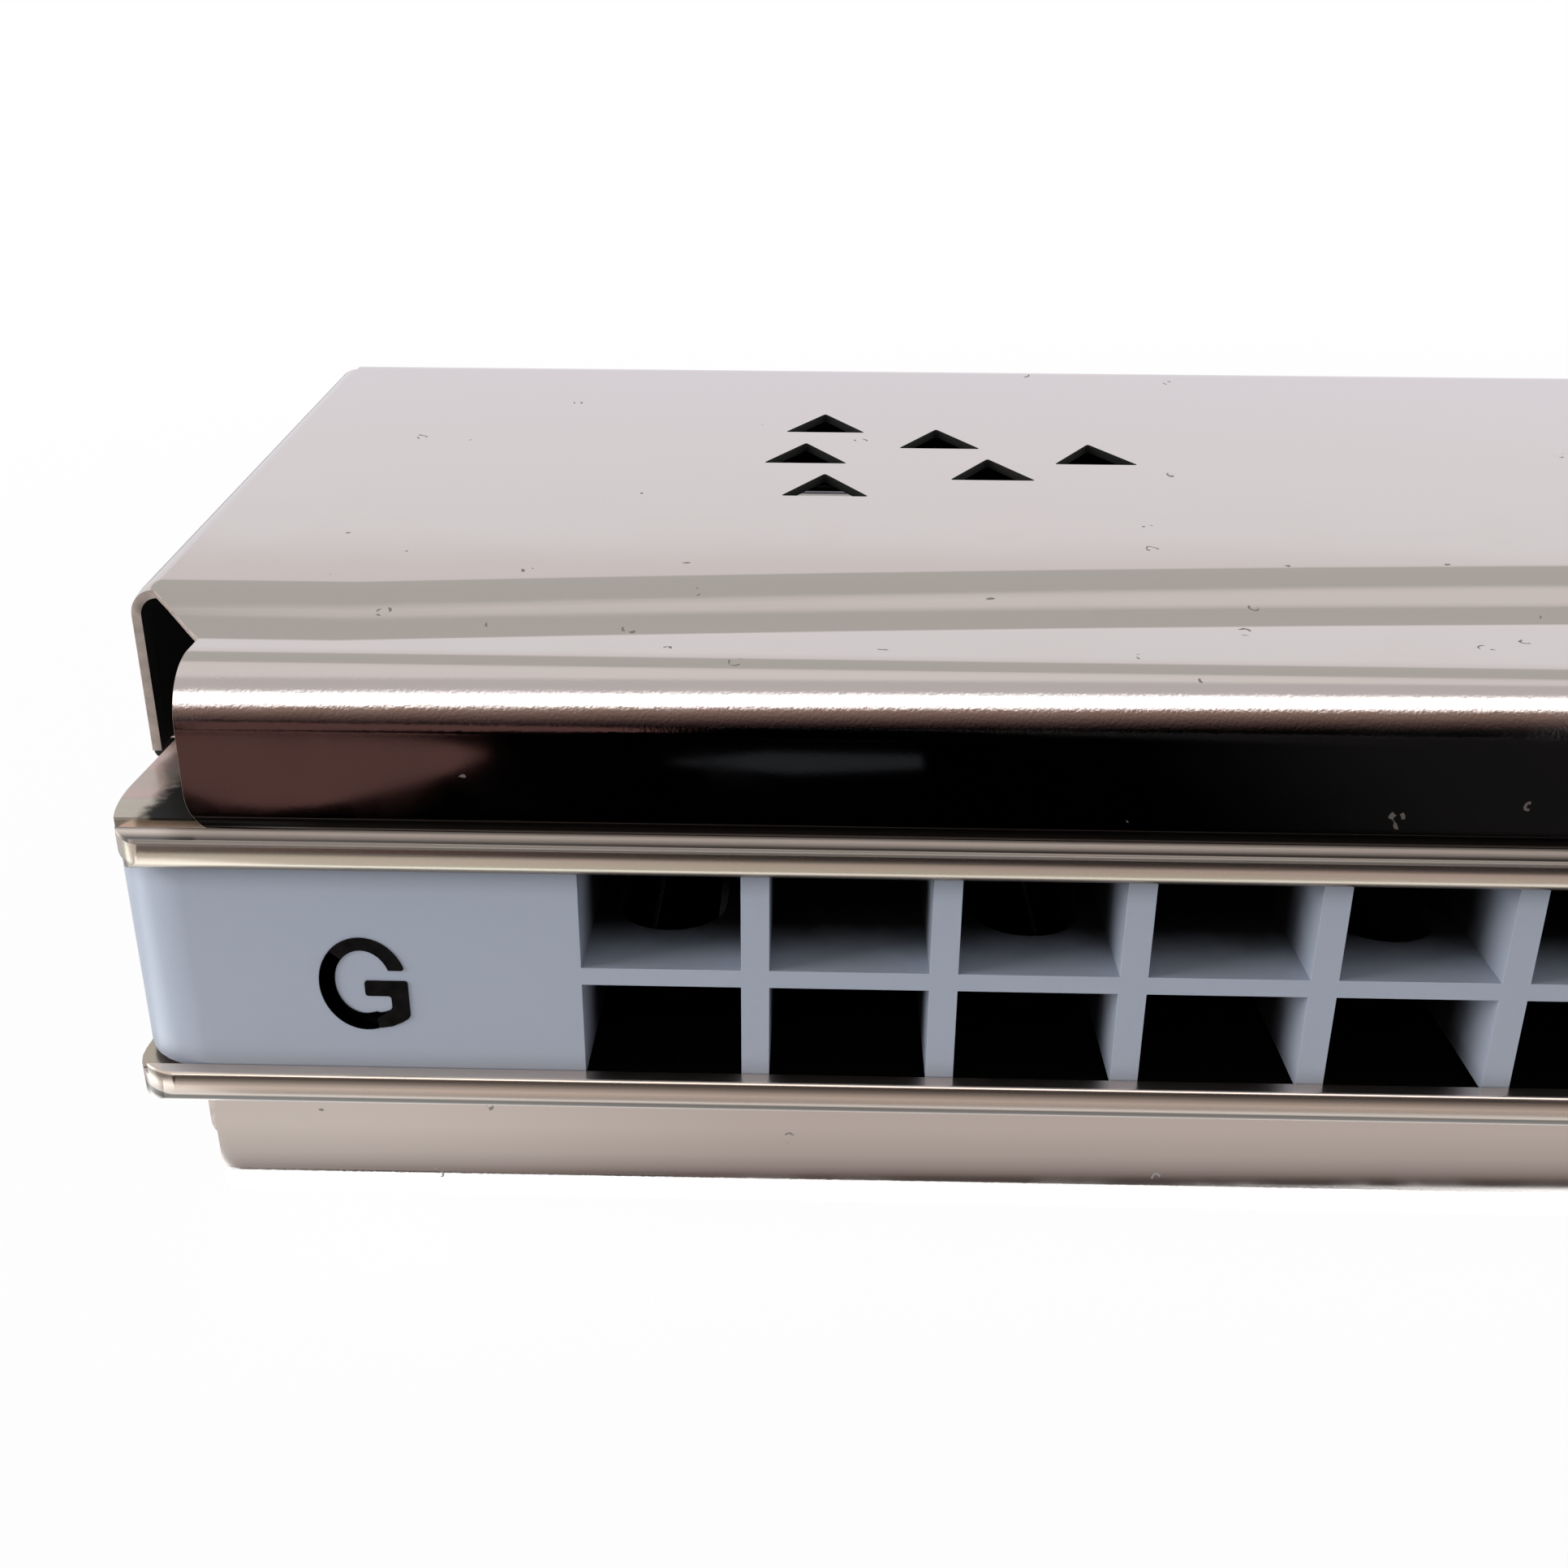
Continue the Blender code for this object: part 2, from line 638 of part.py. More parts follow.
def add_fasteners(plate):
    """Rivets and screws are set tight in the plate, so they are one solid with it."""
    shanks = bmesh.new()
    for column in range(COLUMNS):
        turned(shanks, rivet_profile(column % 2 == 1), column_x(column), rivet_y(), RIVET_SIDES)
    for x, y in screw_places():
        turned(shanks, screw_profile(), x, y, SCREW_SIDES)
    carve(plate, shanks, "UNION")


def make_bolt(name, end, finish):
    bm = bmesh.new()
    seat = TAB_TOP + GAP
    end_z = -(seat + NUT_HEIGHT + BOLT_END)
    crown = seat + BOLT_HEAD
    profile = [(0, end_z), (BOLT_RADIUS, end_z), (BOLT_RADIUS, seat), (BOLT_HEAD_RADIUS, seat)]
    profile += [(BOLT_HEAD_RADIUS, seat + BOLT_HEAD / 2), (BOLT_HEAD_RADIUS * HEAD_CROWN, crown), (0, crown)]
    turned(bm, profile, end * EAR_X, MOUTH_Y + EAR_CENTRE_BACK, BOLT_SIDES)
    bolt = placed(name, bm, finish)
    shaded(bolt)
    return bolt


def make_nut(name, end, finish):
    bm = bmesh.new()
    seat = TAB_TOP + GAP
    collar(bm, BOLT_HOLE, NUT_RADIUS, -seat - NUT_HEIGHT, -seat,
           end * EAR_X, MOUTH_Y + EAR_CENTRE_BACK, NUT_SIDES)
    return placed(name, bm, finish)


def main():
    for old in list(bpy.data.objects):
        bpy.data.objects.remove(old)
    plastic = material("comb_plastic", (0.62, 0.66, 0.72), 0.0, 0.35)
    plating = material("plate_plating", (0.78, 0.72, 0.66), 1.0, 0.28)
    chrome = material("cover_chrome", (0.86, 0.83, 0.83), 1.0, 0.1)
    brass = material("reed_brass", (0.78, 0.6, 0.3), 1.0, 0.3)
    steel = material("fastener_steel", (0.7, 0.7, 0.7), 1.0, 0.3)
    make_comb(plastic)
    for word, side in (("upper", 1), ("lower", -1)):
        make_plate(word + "_reed_plate", side, plating)
        make_cover(word + "_cover", side, chrome)
        for column in range(COLUMNS):
            name = "{}_reed_{:02d}".format(word, column + 1)
            make_reed(name, column, side, column % 2 == 1, brass)
    for word, end in (("left", -1), ("right", 1)):
        make_bolt("cover_bolt_" + word, end, steel)
        make_nut("cover_nut_" + word, end, steel)


main()
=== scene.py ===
"""Fine surfaces, finishes and a small studio for a tremolo harmonica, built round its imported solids."""

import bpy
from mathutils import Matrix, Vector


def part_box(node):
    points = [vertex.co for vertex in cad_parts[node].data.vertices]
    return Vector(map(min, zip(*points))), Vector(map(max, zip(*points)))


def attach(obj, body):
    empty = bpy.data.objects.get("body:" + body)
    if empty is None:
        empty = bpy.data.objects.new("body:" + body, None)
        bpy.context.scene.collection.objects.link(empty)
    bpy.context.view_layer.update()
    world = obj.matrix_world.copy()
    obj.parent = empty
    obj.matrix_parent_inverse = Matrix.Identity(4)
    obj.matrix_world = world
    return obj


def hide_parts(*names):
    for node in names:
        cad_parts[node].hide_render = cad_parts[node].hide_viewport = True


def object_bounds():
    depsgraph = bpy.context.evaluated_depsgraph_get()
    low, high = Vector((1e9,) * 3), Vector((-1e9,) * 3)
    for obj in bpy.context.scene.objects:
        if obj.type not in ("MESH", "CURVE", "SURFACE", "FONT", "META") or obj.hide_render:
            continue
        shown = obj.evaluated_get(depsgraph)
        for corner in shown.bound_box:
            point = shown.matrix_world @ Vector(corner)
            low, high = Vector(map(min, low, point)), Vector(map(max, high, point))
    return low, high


bl_info = {
    "name": "Tremolo Harmonica Finish",
    "version": (1, 1, 0),
    "blender": (4, 5, 0),
    "location": "3D View > Sidebar > Harmonica",
    "description": "Dresses a tremolo harmonica with fine meshes and procedural finishes",
    "category": "Object",
}

import math

import bmesh
import bpy
from mathutils import Matrix, Vector

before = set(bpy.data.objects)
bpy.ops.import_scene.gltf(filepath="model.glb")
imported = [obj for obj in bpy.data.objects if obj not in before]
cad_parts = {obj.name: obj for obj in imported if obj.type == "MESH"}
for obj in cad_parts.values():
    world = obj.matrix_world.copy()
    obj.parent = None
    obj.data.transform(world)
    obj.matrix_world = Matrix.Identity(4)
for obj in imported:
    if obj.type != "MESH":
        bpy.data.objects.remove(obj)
CAD_LOW, CAD_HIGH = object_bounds()

MM = 0.001
ROOT = "body"
ENDS = (-1, 1)

COMB_LOW, COMB_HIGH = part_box("comb")
BOLT_LOW, BOLT_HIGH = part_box("cover_bolt_right")
MOUTH_Y = COMB_LOW.y

# Sizes of the covers' sheet, with depths measured from the mouth
SHEET = 0.33 * MM
GAP = 0.3 * MM
PLATE_TOP = 5.0 * MM
PLATE_LOW = 4.1 * MM
HALF_COMB = 89.6 * MM
UPPER_LIP_SHORT = 3.1 * MM
LOWER_LIP_SHORT = 2.5 * MM
LIP_FOOT = 4.9 * MM
LIP_FRONT = 0.45 * MM
LIP_LEAN = 0.1 * MM
LIP_WALL_TOP = 8.33 * MM
LIP_ROUND = 1.95 * MM
LIP_TOP_BACK = 2.381 * MM
LIP_TOP_HEIGHT = 10.296 * MM
LIP_RISE = math.radians(3.5)
LIP_CORNER = 0.95 * MM
LIP_CORNER_RISE = 1.3 * MM
CREASE_BACK = 3.55 * MM
CREASE_BOW = 3.75 * MM
CREASE_TURN = math.radians(10)
BOW_X = 82.0 * MM
PANEL_FRONT = 6.9 * MM
PANEL_HEIGHT = 11.35 * MM
PANEL_RISE = math.radians(5.5)
PANEL_BACK = 34.0 * MM
BACK_ROUND = 1.5 * MM
BACK_LIP = 4.2 * MM
BACK_HEM = 0.6 * MM
WALL_FRONT = 6.1 * MM
WALL_BACK = 33.6 * MM
WALL_X = HALF_COMB + 0.1 * MM
FOLD = 0.9 * MM
EDGE_X = WALL_X - FOLD
TAB_TOP = PLATE_TOP + GAP + SHEET
TAB_X = HALF_COMB + 1.3 * MM
TAB_FRONT = 8.2 * MM
TAB_BACK = 29.5 * MM
TAB_CORNER = 1.0 * MM
EAR_X = (BOLT_LOW.x + BOLT_HIGH.x) / 2
EAR_Y = (BOLT_LOW.y + BOLT_HIGH.y) / 2
EAR_RADIUS = 2.7 * MM
BOLT_HOLE = 1.3 * MM
VENT_SIDE = 3.4 * MM
VENT_HEIGHT = 2.68 * MM
CELLS_END = 73.935 * MM
VENTS_FROM_CELLS = (
    (7.8 * MM, 24.3 * MM),
    (12.6 * MM, 22.2 * MM),
    (7.0 * MM, 20.1 * MM),
    (18.9 * MM, 20.3 * MM),
    (14.5 * MM, 18.2 * MM),
    (7.8 * MM, 16.1 * MM),
)
SHOULDER_SHARES = (
    -0.03, 0.0, 0.03, 0.08, 0.15, 0.23, 0.31, 0.39, 0.47, 0.55, 0.63, 0.7, 0.761, 0.83, 0.89, 0.94, 0.98, 1.0, 1.03)
SPANS = 20
NEAR = 0.004 * MM

# The camera, found from the photograph: place in metres, turn in degrees
CAMERA_PLACE = (-66.245 * MM, -64.945 * MM, 27.76 * MM)
CAMERA_YAW = -1.26
CAMERA_PITCH = 23.56
CAMERA_ROLL = -0.35
CAMERA_LENS = 38.14
SENSOR = 36.0

FLOAT = "NodeSocketFloat"
VECTOR = "NodeSocketVector"


# Node helpers

def add(tree, kind, settings=None, inputs=None):
    """A new node with its settings, whose inputs are values or the sockets that feed them."""
    node = tree.nodes.new(kind)
    for key, value in (settings or {}).items():
        setattr(node, key, value)
    for key, value in (inputs or {}).items():
        if isinstance(value, bpy.types.NodeSocket):
            tree.links.new(value, node.inputs[key])
        else:
            node.inputs[key].default_value = value
    return node


def ramp(tree, source, stops):
    """A colour ramp with the given positions and grey or colour values."""
    node = add(tree, "ShaderNodeValToRGB", inputs={"Fac": source})
    elements = node.color_ramp.elements
    elements[0].position = stops[0][0]
    elements[1].position = stops[-1][0]
    for position, value in stops[1:-1]:
        elements.new(position)
    for element, (position, value) in zip(elements, stops):
        colour = value if isinstance(value, tuple) else (value, value, value)
        element.color = (*colour, 1.0)
    return node.outputs["Color"]


def maths(tree, operation, *values):
    """One sum of up to three values or sockets."""
    node = add(tree, "ShaderNodeMath", {"operation": operation}, dict(enumerate(values)))
    return node.outputs["Value"]


def span(tree, value, low, high):
    """How far a value has gone from low to high, held between 0 and 1."""
    inputs = {"Value": value, "From Min": low, "From Max": high}
    return add(tree, "ShaderNodeMapRange", {"interpolation_type": "SMOOTHSTEP"}, inputs).outputs[0]


def blend_colour(tree, factor, first, second, kind="MIX"):
    node = add(tree, "ShaderNodeMix", {"data_type": "RGBA", "blend_type": kind}, {0: factor, 6: first, 7: second})
    return node.outputs[2]


def noise(tree, place, scale, detail=2.0, **inputs):
    settings = {"Vector": place, "Scale": scale, "Detail": detail, **inputs}
    return add(tree, "ShaderNodeTexNoise", inputs=settings).outputs["Fac"]


def new_group(name, inputs, outputs):
    """A shader node group. Returns its tree, input node and output node."""
    tree = bpy.data.node_groups.new(name, "ShaderNodeTree")
    for label, (kind, default) in inputs.items():
        socket = tree.interface.new_socket(label, in_out="INPUT", socket_type=kind)
        if default is not None:
            socket.default_value = default
    for label in outputs:
        tree.interface.new_socket(label, in_out="OUTPUT", socket_type=FLOAT)
    return tree, tree.nodes.new("NodeGroupInput"), tree.nodes.new("NodeGroupOutput")


def tones(tree, value, start, shares):
    """A grey that changes with a place along one axis, from (millimetres, share) pairs in falling order."""
    first, last = shares[0][0], shares[-1][0]
    way = add(tree, "ShaderNodeMapRange", inputs={
        "Value": value, "From Min": start + first * MM, "From Max": start + last * MM})
    return ramp(tree, way.outputs[0], [((first - at) / (first - last), (share,) * 3) for at, share in shares])


def lint_group():
    """Sparse curls of lint: short broken arcs round the middle of some cells of a Voronoi pattern."""
    inputs = {"Place": (VECTOR, None), "Cells": (FLOAT, 300.0), "Share": (FLOAT, 0.2), "Radius": (FLOAT, 0.1)}
    tree, given, result = new_group("lint_curls", inputs, ("Mask",))
    place = given.outputs["Place"]
    warp = add(tree, "ShaderNodeTexNoise", inputs={"Vector": place, "Scale": 900.0})
    bent = add(tree, "ShaderNodeVectorMath", {"operation": "MULTIPLY_ADD"},
               {0: warp.outputs["Color"], 1: (0.0009, 0.0009, 0.0009), 2: place})
    cells = add(tree, "ShaderNodeTexVoronoi", inputs={"Vector": bent.outputs[0], "Scale": given.outputs["Cells"]})
    chosen = add(tree, "ShaderNodeSeparateColor", inputs={"Color": cells.outputs["Color"]})
    rare = maths(tree, "LESS_THAN", chosen.outputs["Red"], given.outputs["Share"])
    away = maths(tree, "SUBTRACT", cells.outputs["Distance"], given.outputs["Radius"])
    thin = maths(tree, "LESS_THAN", maths(tree, "ABSOLUTE", away), 0.02)
    broken = maths(tree, "GREATER_THAN", noise(tree, place, 2600.0, 0.0), 0.56)
    tree.links.new(maths(tree, "MULTIPLY", rare, maths(tree, "MULTIPLY", thin, broken)), result.inputs["Mask"])
    return tree


def smudge_group():
    """Soft cloudy patches, such as fingerprints leave on polished metal."""
    tree, given, result = new_group("finger_smudges", {"Place": (VECTOR, None), "Scale": (FLOAT, 140.0)}, ("Mask",))
    broad = noise(tree, given.outputs["Place"], given.outputs["Scale"], 6.0, Distortion=1.2)
    tree.links.new(span(tree, broad, 0.42, 0.66), result.inputs["Mask"])
    return tree


def streak_group():
    """Fine lines along the instrument, as rolling and drawing leave them."""
    tree, given, result = new_group("drawn_streaks", {"Place": (VECTOR, None), "Fineness": (FLOAT, 900.0)}, ("Mask",))
    stretched = add(tree, "ShaderNodeMapping", inputs={"Vector": given.outputs["Place"], "Scale": (0.02, 1.0, 1.0)})
    tree.links.new(noise(tree, stretched.outputs[0], given.outputs["Fineness"], 4.0), result.inputs["Mask"])
    return tree


def use(tree, group, **values):
    """Places a node group in a material, with its values, and returns its mask."""
    return add(tree, "ShaderNodeGroup", {"node_tree": group}, values).outputs["Mask"]


def start_material(name):
    """A material with its shader and the piece's own coordinates."""
    made = bpy.data.materials.new(name)
    made.use_nodes = True
    tree = made.node_tree
    return made, tree, tree.nodes["Principled BSDF"], add(tree, "ShaderNodeTexCoord").outputs["Object"]


def give(tree, shader, **values):
    """Feeds or sets the shader's inputs, named with underscores."""
    for label, value in values.items():
        socket = shader.inputs[label.replace("_", " ")]
        if isinstance(value, bpy.types.NodeSocket):
            tree.links.new(value, socket)
        else:
            socket.default_value = value


def bump(tree, height, strength, distance):
    inputs = {"Strength": strength, "Distance": distance, "Height": height}
    return add(tree, "ShaderNodeBump", inputs=inputs).outputs["Normal"]


# Finishes

def bright_plating(groups, settings):
    """Polished nickel plating of the covers, with a faint rose tone, fine grain, smudges and lint."""
    made, tree, shader, place = start_material("bright_plating")
    tone = tuple(settings.cover_colour)
    warm = tuple(value * factor for value, factor in zip(tone, (1.02, 0.985, 0.98)))
    base = blend_colour(tree, noise(tree, place, 45.0, 3.0), (*tone, 1.0), (*warm, 1.0))
    apart = add(tree, "ShaderNodeSeparateXYZ", inputs={"Vector": place})
    dusty = maths(tree, "MULTIPLY", span(tree, apart.outputs["Y"], MOUTH_Y + 2.5 * MM, MOUTH_Y + 3.5 * MM),
                  span(tree, apart.outputs["Y"], MOUTH_Y + 12.0 * MM, MOUTH_Y + 9.0 * MM))
    lint = use(tree, groups["lint"], Place=place, Cells=480.0, Radius=0.11,
               Share=maths(tree, "MULTIPLY_ADD", dusty, 0.55, 0.25))
    base = blend_colour(tree, maths(tree, "MULTIPLY", lint, 0.75), base, (0.16, 0.15, 0.14, 1.0))
    # Painted shade: the lip's wall turns near black along its foot, just above the reed plate.
    foot = maths(tree, "MULTIPLY", span(tree, apart.outputs["Z"], 5.6 * MM, 5.3 * MM),
                 maths(tree, "LESS_THAN", apart.outputs["Y"], MOUTH_Y + LIP_FRONT + 0.1 * MM))
    foot = maths(tree, "MULTIPLY", foot, span(tree, apart.outputs["Z"], 4.95 * MM, 5.1 * MM))
    base = blend_colour(tree, foot, base, (0.01, 0.01, 0.01, 1.0))
    smudge = use(tree, groups["smudge"], Place=place, Scale=210.0)
    rough = maths(tree, "MULTIPLY_ADD", smudge, 0.03, settings.cover_roughness)
    rough = maths(tree, "MULTIPLY_ADD", lint, 0.5, rough)
    height = maths(tree, "ABSOLUTE", apart.outputs["Z"])
    bend = maths(tree, "MULTIPLY", span(tree, apart.outputs["Y"], MOUTH_Y + 2.9 * MM, MOUTH_Y + 2.4 * MM),
                 span(tree, height, LIP_WALL_TOP - 0.1 * MM, LIP_WALL_TOP + 0.5 * MM))
    rough = maths(tree, "MULTIPLY_ADD", bend, 0.06, rough)
    peeled = maths(tree, "MULTIPLY", bend, span(tree, apart.outputs["Y"], MOUTH_Y + 1.7 * MM, MOUTH_Y + 1.0 * MM))
    peel = maths(tree, "MULTIPLY", noise(tree, place, 9000.0, 3.0), maths(tree, "MULTIPLY_ADD", peeled, 0.4, 0.01))
    grain = maths(tree, "ADD", peel, noise(tree, place, 110.0, 1.0))
    give(tree, shader, Base_Color=base, Metallic=1.0, Roughness=rough,
         Normal=bump(tree, grain, 0.1, 0.00012))
    return made


def painted_dark_inside():
    """Unpolished inner face of the covers, painted near black for the shade inside the instrument."""
    made, tree, shader, place = start_material("painted_dark_inside")
    # Painted shade: a near-black base stands in for the shade inside the covers and on the walls of the vent holes.
    base = ramp(tree, noise(tree, place, 400.0, 4.0), ((0.3, (0.006, 0.006, 0.006)), (0.7, (0.014, 0.013, 0.012))))
    give(tree, shader, Base_Color=base, Metallic=0.4, Roughness=0.75)
    return made


def cut_edge(settings):
    """Satin cut edge of the sheet, painted near black all round the vent holes for the shade inside them."""
    made, tree, shader, place = start_material("cut_edge")
    tone = tuple(settings.plate_colour)
    dark = tuple(value * 0.7 for value in tone)
    base = ramp(tree, noise(tree, place, 2200.0, 4.0), ((0.3, dark), (0.7, tone)))
    apart = add(tree, "ShaderNodeSeparateXYZ", inputs={"Vector": place})
    vent_shade = maths(tree, "MULTIPLY", span(tree, apart.outputs["Y"], MOUTH_Y + 9.0 * MM, MOUTH_Y + 9.5 * MM),
                  span(tree, apart.outputs["Y"], MOUTH_Y + 31.5 * MM, MOUTH_Y + 31.0 * MM))
    vent_shade = maths(tree, "MULTIPLY", vent_shade,
                  maths(tree, "LESS_THAN", maths(tree, "ABSOLUTE", apart.outputs["X"]), 82.0 * MM))
    # Painted shade: the cut edges round the vent holes turn near black and lose their shine.
    base = blend_colour(tree, maths(tree, "MULTIPLY", vent_shade, 0.95), base, (0.006, 0.005, 0.004, 1.0))
    give(tree, shader, Base_Color=base, Metallic=maths(tree, "MULTIPLY_ADD", vent_shade, -0.3, 0.3), Roughness=0.42,
         Specular_IOR_Level=maths(tree, "MULTIPLY_ADD", vent_shade, -0.45, 0.5))
    return made


def champagne_plating(groups, settings):
    """Warm satin plating of the reed plates, with drawn lines and a faint play of colours; painted shade darkens the
    inner faces, the slots, the top face by the ends and the upper bead's underside, and bands of painted light and
    shade lie on the upper bead's top and the lower bead's nose.
    """
    made, tree, shader, place = start_material("champagne_plating")
    tone = tuple(settings.plate_colour)
    streak = use(tree, groups["streak"], Place=place, Fineness=1400.0)
    film = use(tree, groups["streak"], Place=place, Fineness=420.0)
    play = ramp(tree, film, (
        (0.35, tone), (0.44, (0.8, 0.52, 0.5)), (0.49, tone), (0.54, (0.56, 0.62, 0.45)), (0.6, tone)))
    base = blend_colour(tree, 0.4, (*tone, 1.0), play)
    lint = use(tree, groups["lint"], Place=place, Cells=420.0, Share=0.1)
    base = blend_colour(tree, lint, base, (0.2, 0.18, 0.16, 1.0))
    apart = add(tree, "ShaderNodeSeparateXYZ", inputs={"Vector": place})
    height = maths(tree, "ABSOLUTE", apart.outputs["Z"])
    depth = apart.outputs["Y"]
    aside = maths(tree, "ABSOLUTE", apart.outputs["X"])
    # Painted shade: the inner faces, the slots and the top face by the ends, behind the covers' end walls, turn near
    # black.
    inner = maths(tree, "MULTIPLY", maths(tree, "LESS_THAN", height, PLATE_LOW + 0.06 * MM),
                  span(tree, depth, MOUTH_Y - 0.02 * MM, MOUTH_Y + 0.2 * MM))
    inner = maths(tree, "MULTIPLY", inner, maths(tree, "LESS_THAN", aside, HALF_COMB - 2.3 * MM))
    slots = maths(tree, "MULTIPLY", maths(tree, "LESS_THAN", height, PLATE_TOP - 0.05 * MM),
                  span(tree, depth, MOUTH_Y + 2.0 * MM, MOUTH_Y + 2.5 * MM))
    ragged = maths(tree, "MULTIPLY_ADD", noise(tree, place, 2500.0, 3.0), 0.8 * MM, aside)
    nook = maths(tree, "MULTIPLY", span(tree, ragged, HALF_COMB - 0.6 * MM, HALF_COMB - 1.3 * MM),
                 span(tree, depth, MOUTH_Y + 0.7 * MM, MOUTH_Y + 1.2 * MM))
    nook = maths(tree, "MULTIPLY", nook, maths(tree, "GREATER_THAN", apart.outputs["Z"], PLATE_TOP - 0.1 * MM))
    inner = maths(tree, "MAXIMUM", maths(tree, "MAXIMUM", inner, slots), nook)
    base = blend_colour(tree, inner, base, (0.006, 0.0055, 0.005, 1.0))
    rough = maths(tree, "MULTIPLY_ADD", streak, 0.12, settings.plate_roughness)
    rough = maths(tree, "MULTIPLY_ADD", inner, 0.35, rough)
    # Painted light and shade: the upper bead's top ledge takes a warm light tone, then lighter and darker bands by its
    # depth in place of its reflections, and loses most of its metal.
    front = maths(tree, "LESS_THAN", depth, MOUTH_Y + BEAD_CUT + 0.02 * MM)
    ledge = maths(tree, "MULTIPLY", front, span(tree, apart.outputs["Z"], PLATE_TOP - 0.16 * MM, PLATE_TOP - 0.12 * MM))
    base = blend_colour(tree, maths(tree, "MULTIPLY", ledge, 0.8), base, (1.0, 0.85, 0.76, 1.0))
    base = blend_colour(tree, ledge, base, tones(tree, depth, MOUTH_Y, LEDGE_LIGHT_AND_SHADE), "MULTIPLY")
    # Painted light and shade: the lower bead's nose takes a warm light tone, then lighter and darker bands by height.
    nose = maths(tree, "MULTIPLY", front, maths(tree, "LESS_THAN", apart.outputs["Z"], -3.6 * MM))
    base = blend_colour(tree, maths(tree, "MULTIPLY", nose, 0.6), base, (1.0, 0.85, 0.76, 1.0))
    base = blend_colour(tree, nose, base, tones(tree, apart.outputs["Z"], 0.0, NOSE_LIGHT_AND_SHADE), "MULTIPLY")
    # Painted shade: the upper bead's underside takes a dull dark brown.
    below = maths(tree, "MULTIPLY", span(tree, apart.outputs["Z"], PLATE_LOW + 0.15 * MM, PLATE_LOW - 0.05 * MM),
                  span(tree, apart.outputs["Z"], 0.0, MM))
    below = maths(tree, "MULTIPLY", below, front)
    base = blend_colour(tree, below, base, (0.26, 0.215, 0.18, 1.0))
    end = maths(tree, "MULTIPLY", maths(tree, "GREATER_THAN", aside, HALF_COMB - 3.0 * MM),
                maths(tree, "GREATER_THAN", apart.outputs["Z"], PLATE_TOP - 0.1 * MM))
    end = maths(tree, "MULTIPLY", end, span(tree, depth, MOUTH_Y + 0.5 * MM, MOUTH_Y + 0.8 * MM))
    metal = maths(tree, "MULTIPLY_ADD", ledge, -0.75, maths(tree, "MULTIPLY_ADD", end, -0.4, 1.0))
    give(tree, shader, Base_Color=base, Metallic=metal, Roughness=rough,
         Normal=bump(tree, streak, 0.25, 0.00004))
    return made


def comb_plastic(settings):
    """Cool white moulded plastic, with painted shade that turns it near black down inside the chambers and a painted
    shadow along its faces next to the plates.
    """
    made, tree, shader, place = start_material("comb_plastic")
    tone = tuple(settings.comb_colour)
    cool = tuple(value * factor for value, factor in zip(tone, (0.96, 0.98, 1.0)))
    base = blend_colour(tree, noise(tree, place, 60.0, 4.0), (*tone, 1.0), (*cool, 1.0))
    apart = add(tree, "ShaderNodeSeparateXYZ", inputs={"Vector": place})
    # Painted shade: the chambers turn near black with depth behind the mouth, along a ragged line, stopping short of
    # the comb's rear.
    ragged = maths(tree, "MULTIPLY_ADD", noise(tree, place, 700.0, 3.0), 0.8 * MM, apart.outputs["Y"])
    depth = span(tree, ragged, MOUTH_Y + 0.9 * MM, MOUTH_Y + 4.0 * MM)
    rear = span(tree, apart.outputs["Y"], COMB_HIGH.y - 0.4 * MM, COMB_HIGH.y - 0.6 * MM)
    inside = maths(tree, "LESS_THAN", maths(tree, "ABSOLUTE", apart.outputs["X"]), 74.2 * MM)
    within = maths(tree, "LESS_THAN", maths(tree, "ABSOLUTE", apart.outputs["Z"]), COMB_HIGH.z - 0.02 * MM)
    shade = maths(tree, "MULTIPLY", maths(tree, "MULTIPLY", depth, rear), maths(tree, "MULTIPLY", inside, within))
    # Painted shadow: the comb darkens towards its top and bottom faces, under the plates' beads.
    rim = span(tree, maths(tree, "ABSOLUTE", apart.outputs["Z"]), COMB_HIGH.z - 0.9 * MM, COMB_HIGH.z)
    base = blend_colour(tree, maths(tree, "MULTIPLY", rim, 0.4), base, (0.16, 0.17, 0.21, 1.0))
    base = blend_colour(tree, shade, base, (0.002, 0.002, 0.003, 1.0))
    fine = noise(tree, place, 1500.0, 3.0)
    rough = maths(tree, "MULTIPLY_ADD", shade, 0.4, maths(tree, "MULTIPLY_ADD", fine, 0.1, 0.28))
    give(tree, shader, Base_Color=base, Roughness=rough, Normal=bump(tree, fine, 0.1, 0.00002))
    return made


def filed_brass():
    """Reed brass with file marks across the tongue, painted near black inside the chambers for their shade."""
    made, tree, shader, place = start_material("filed_brass")
    marks = add(tree, "ShaderNodeMapping", inputs={"Vector": place, "Scale": (1.0, 12.0, 1.0)})
    lines = noise(tree, marks.outputs[0], 300.0, 4.0)
    base = ramp(tree, lines, ((0.3, (0.66, 0.47, 0.2)), (0.7, (0.84, 0.66, 0.36))))
    apart = add(tree, "ShaderNodeSeparateXYZ", inputs={"Vector": place})
    # Painted shade: the reeds inside the chambers turn near black.
    inner = maths(tree, "LESS_THAN", maths(tree, "ABSOLUTE", apart.outputs["Z"]), 4.1 * MM)
    base = blend_colour(tree, inner, base, (0.008, 0.006, 0.004, 1.0))
    rough = maths(tree, "MULTIPLY_ADD", lines, 0.3, 0.2)
    give(tree, shader, Base_Color=base, Metallic=1.0, Roughness=rough, Normal=bump(tree, lines, 0.3, 0.00003))
    return made


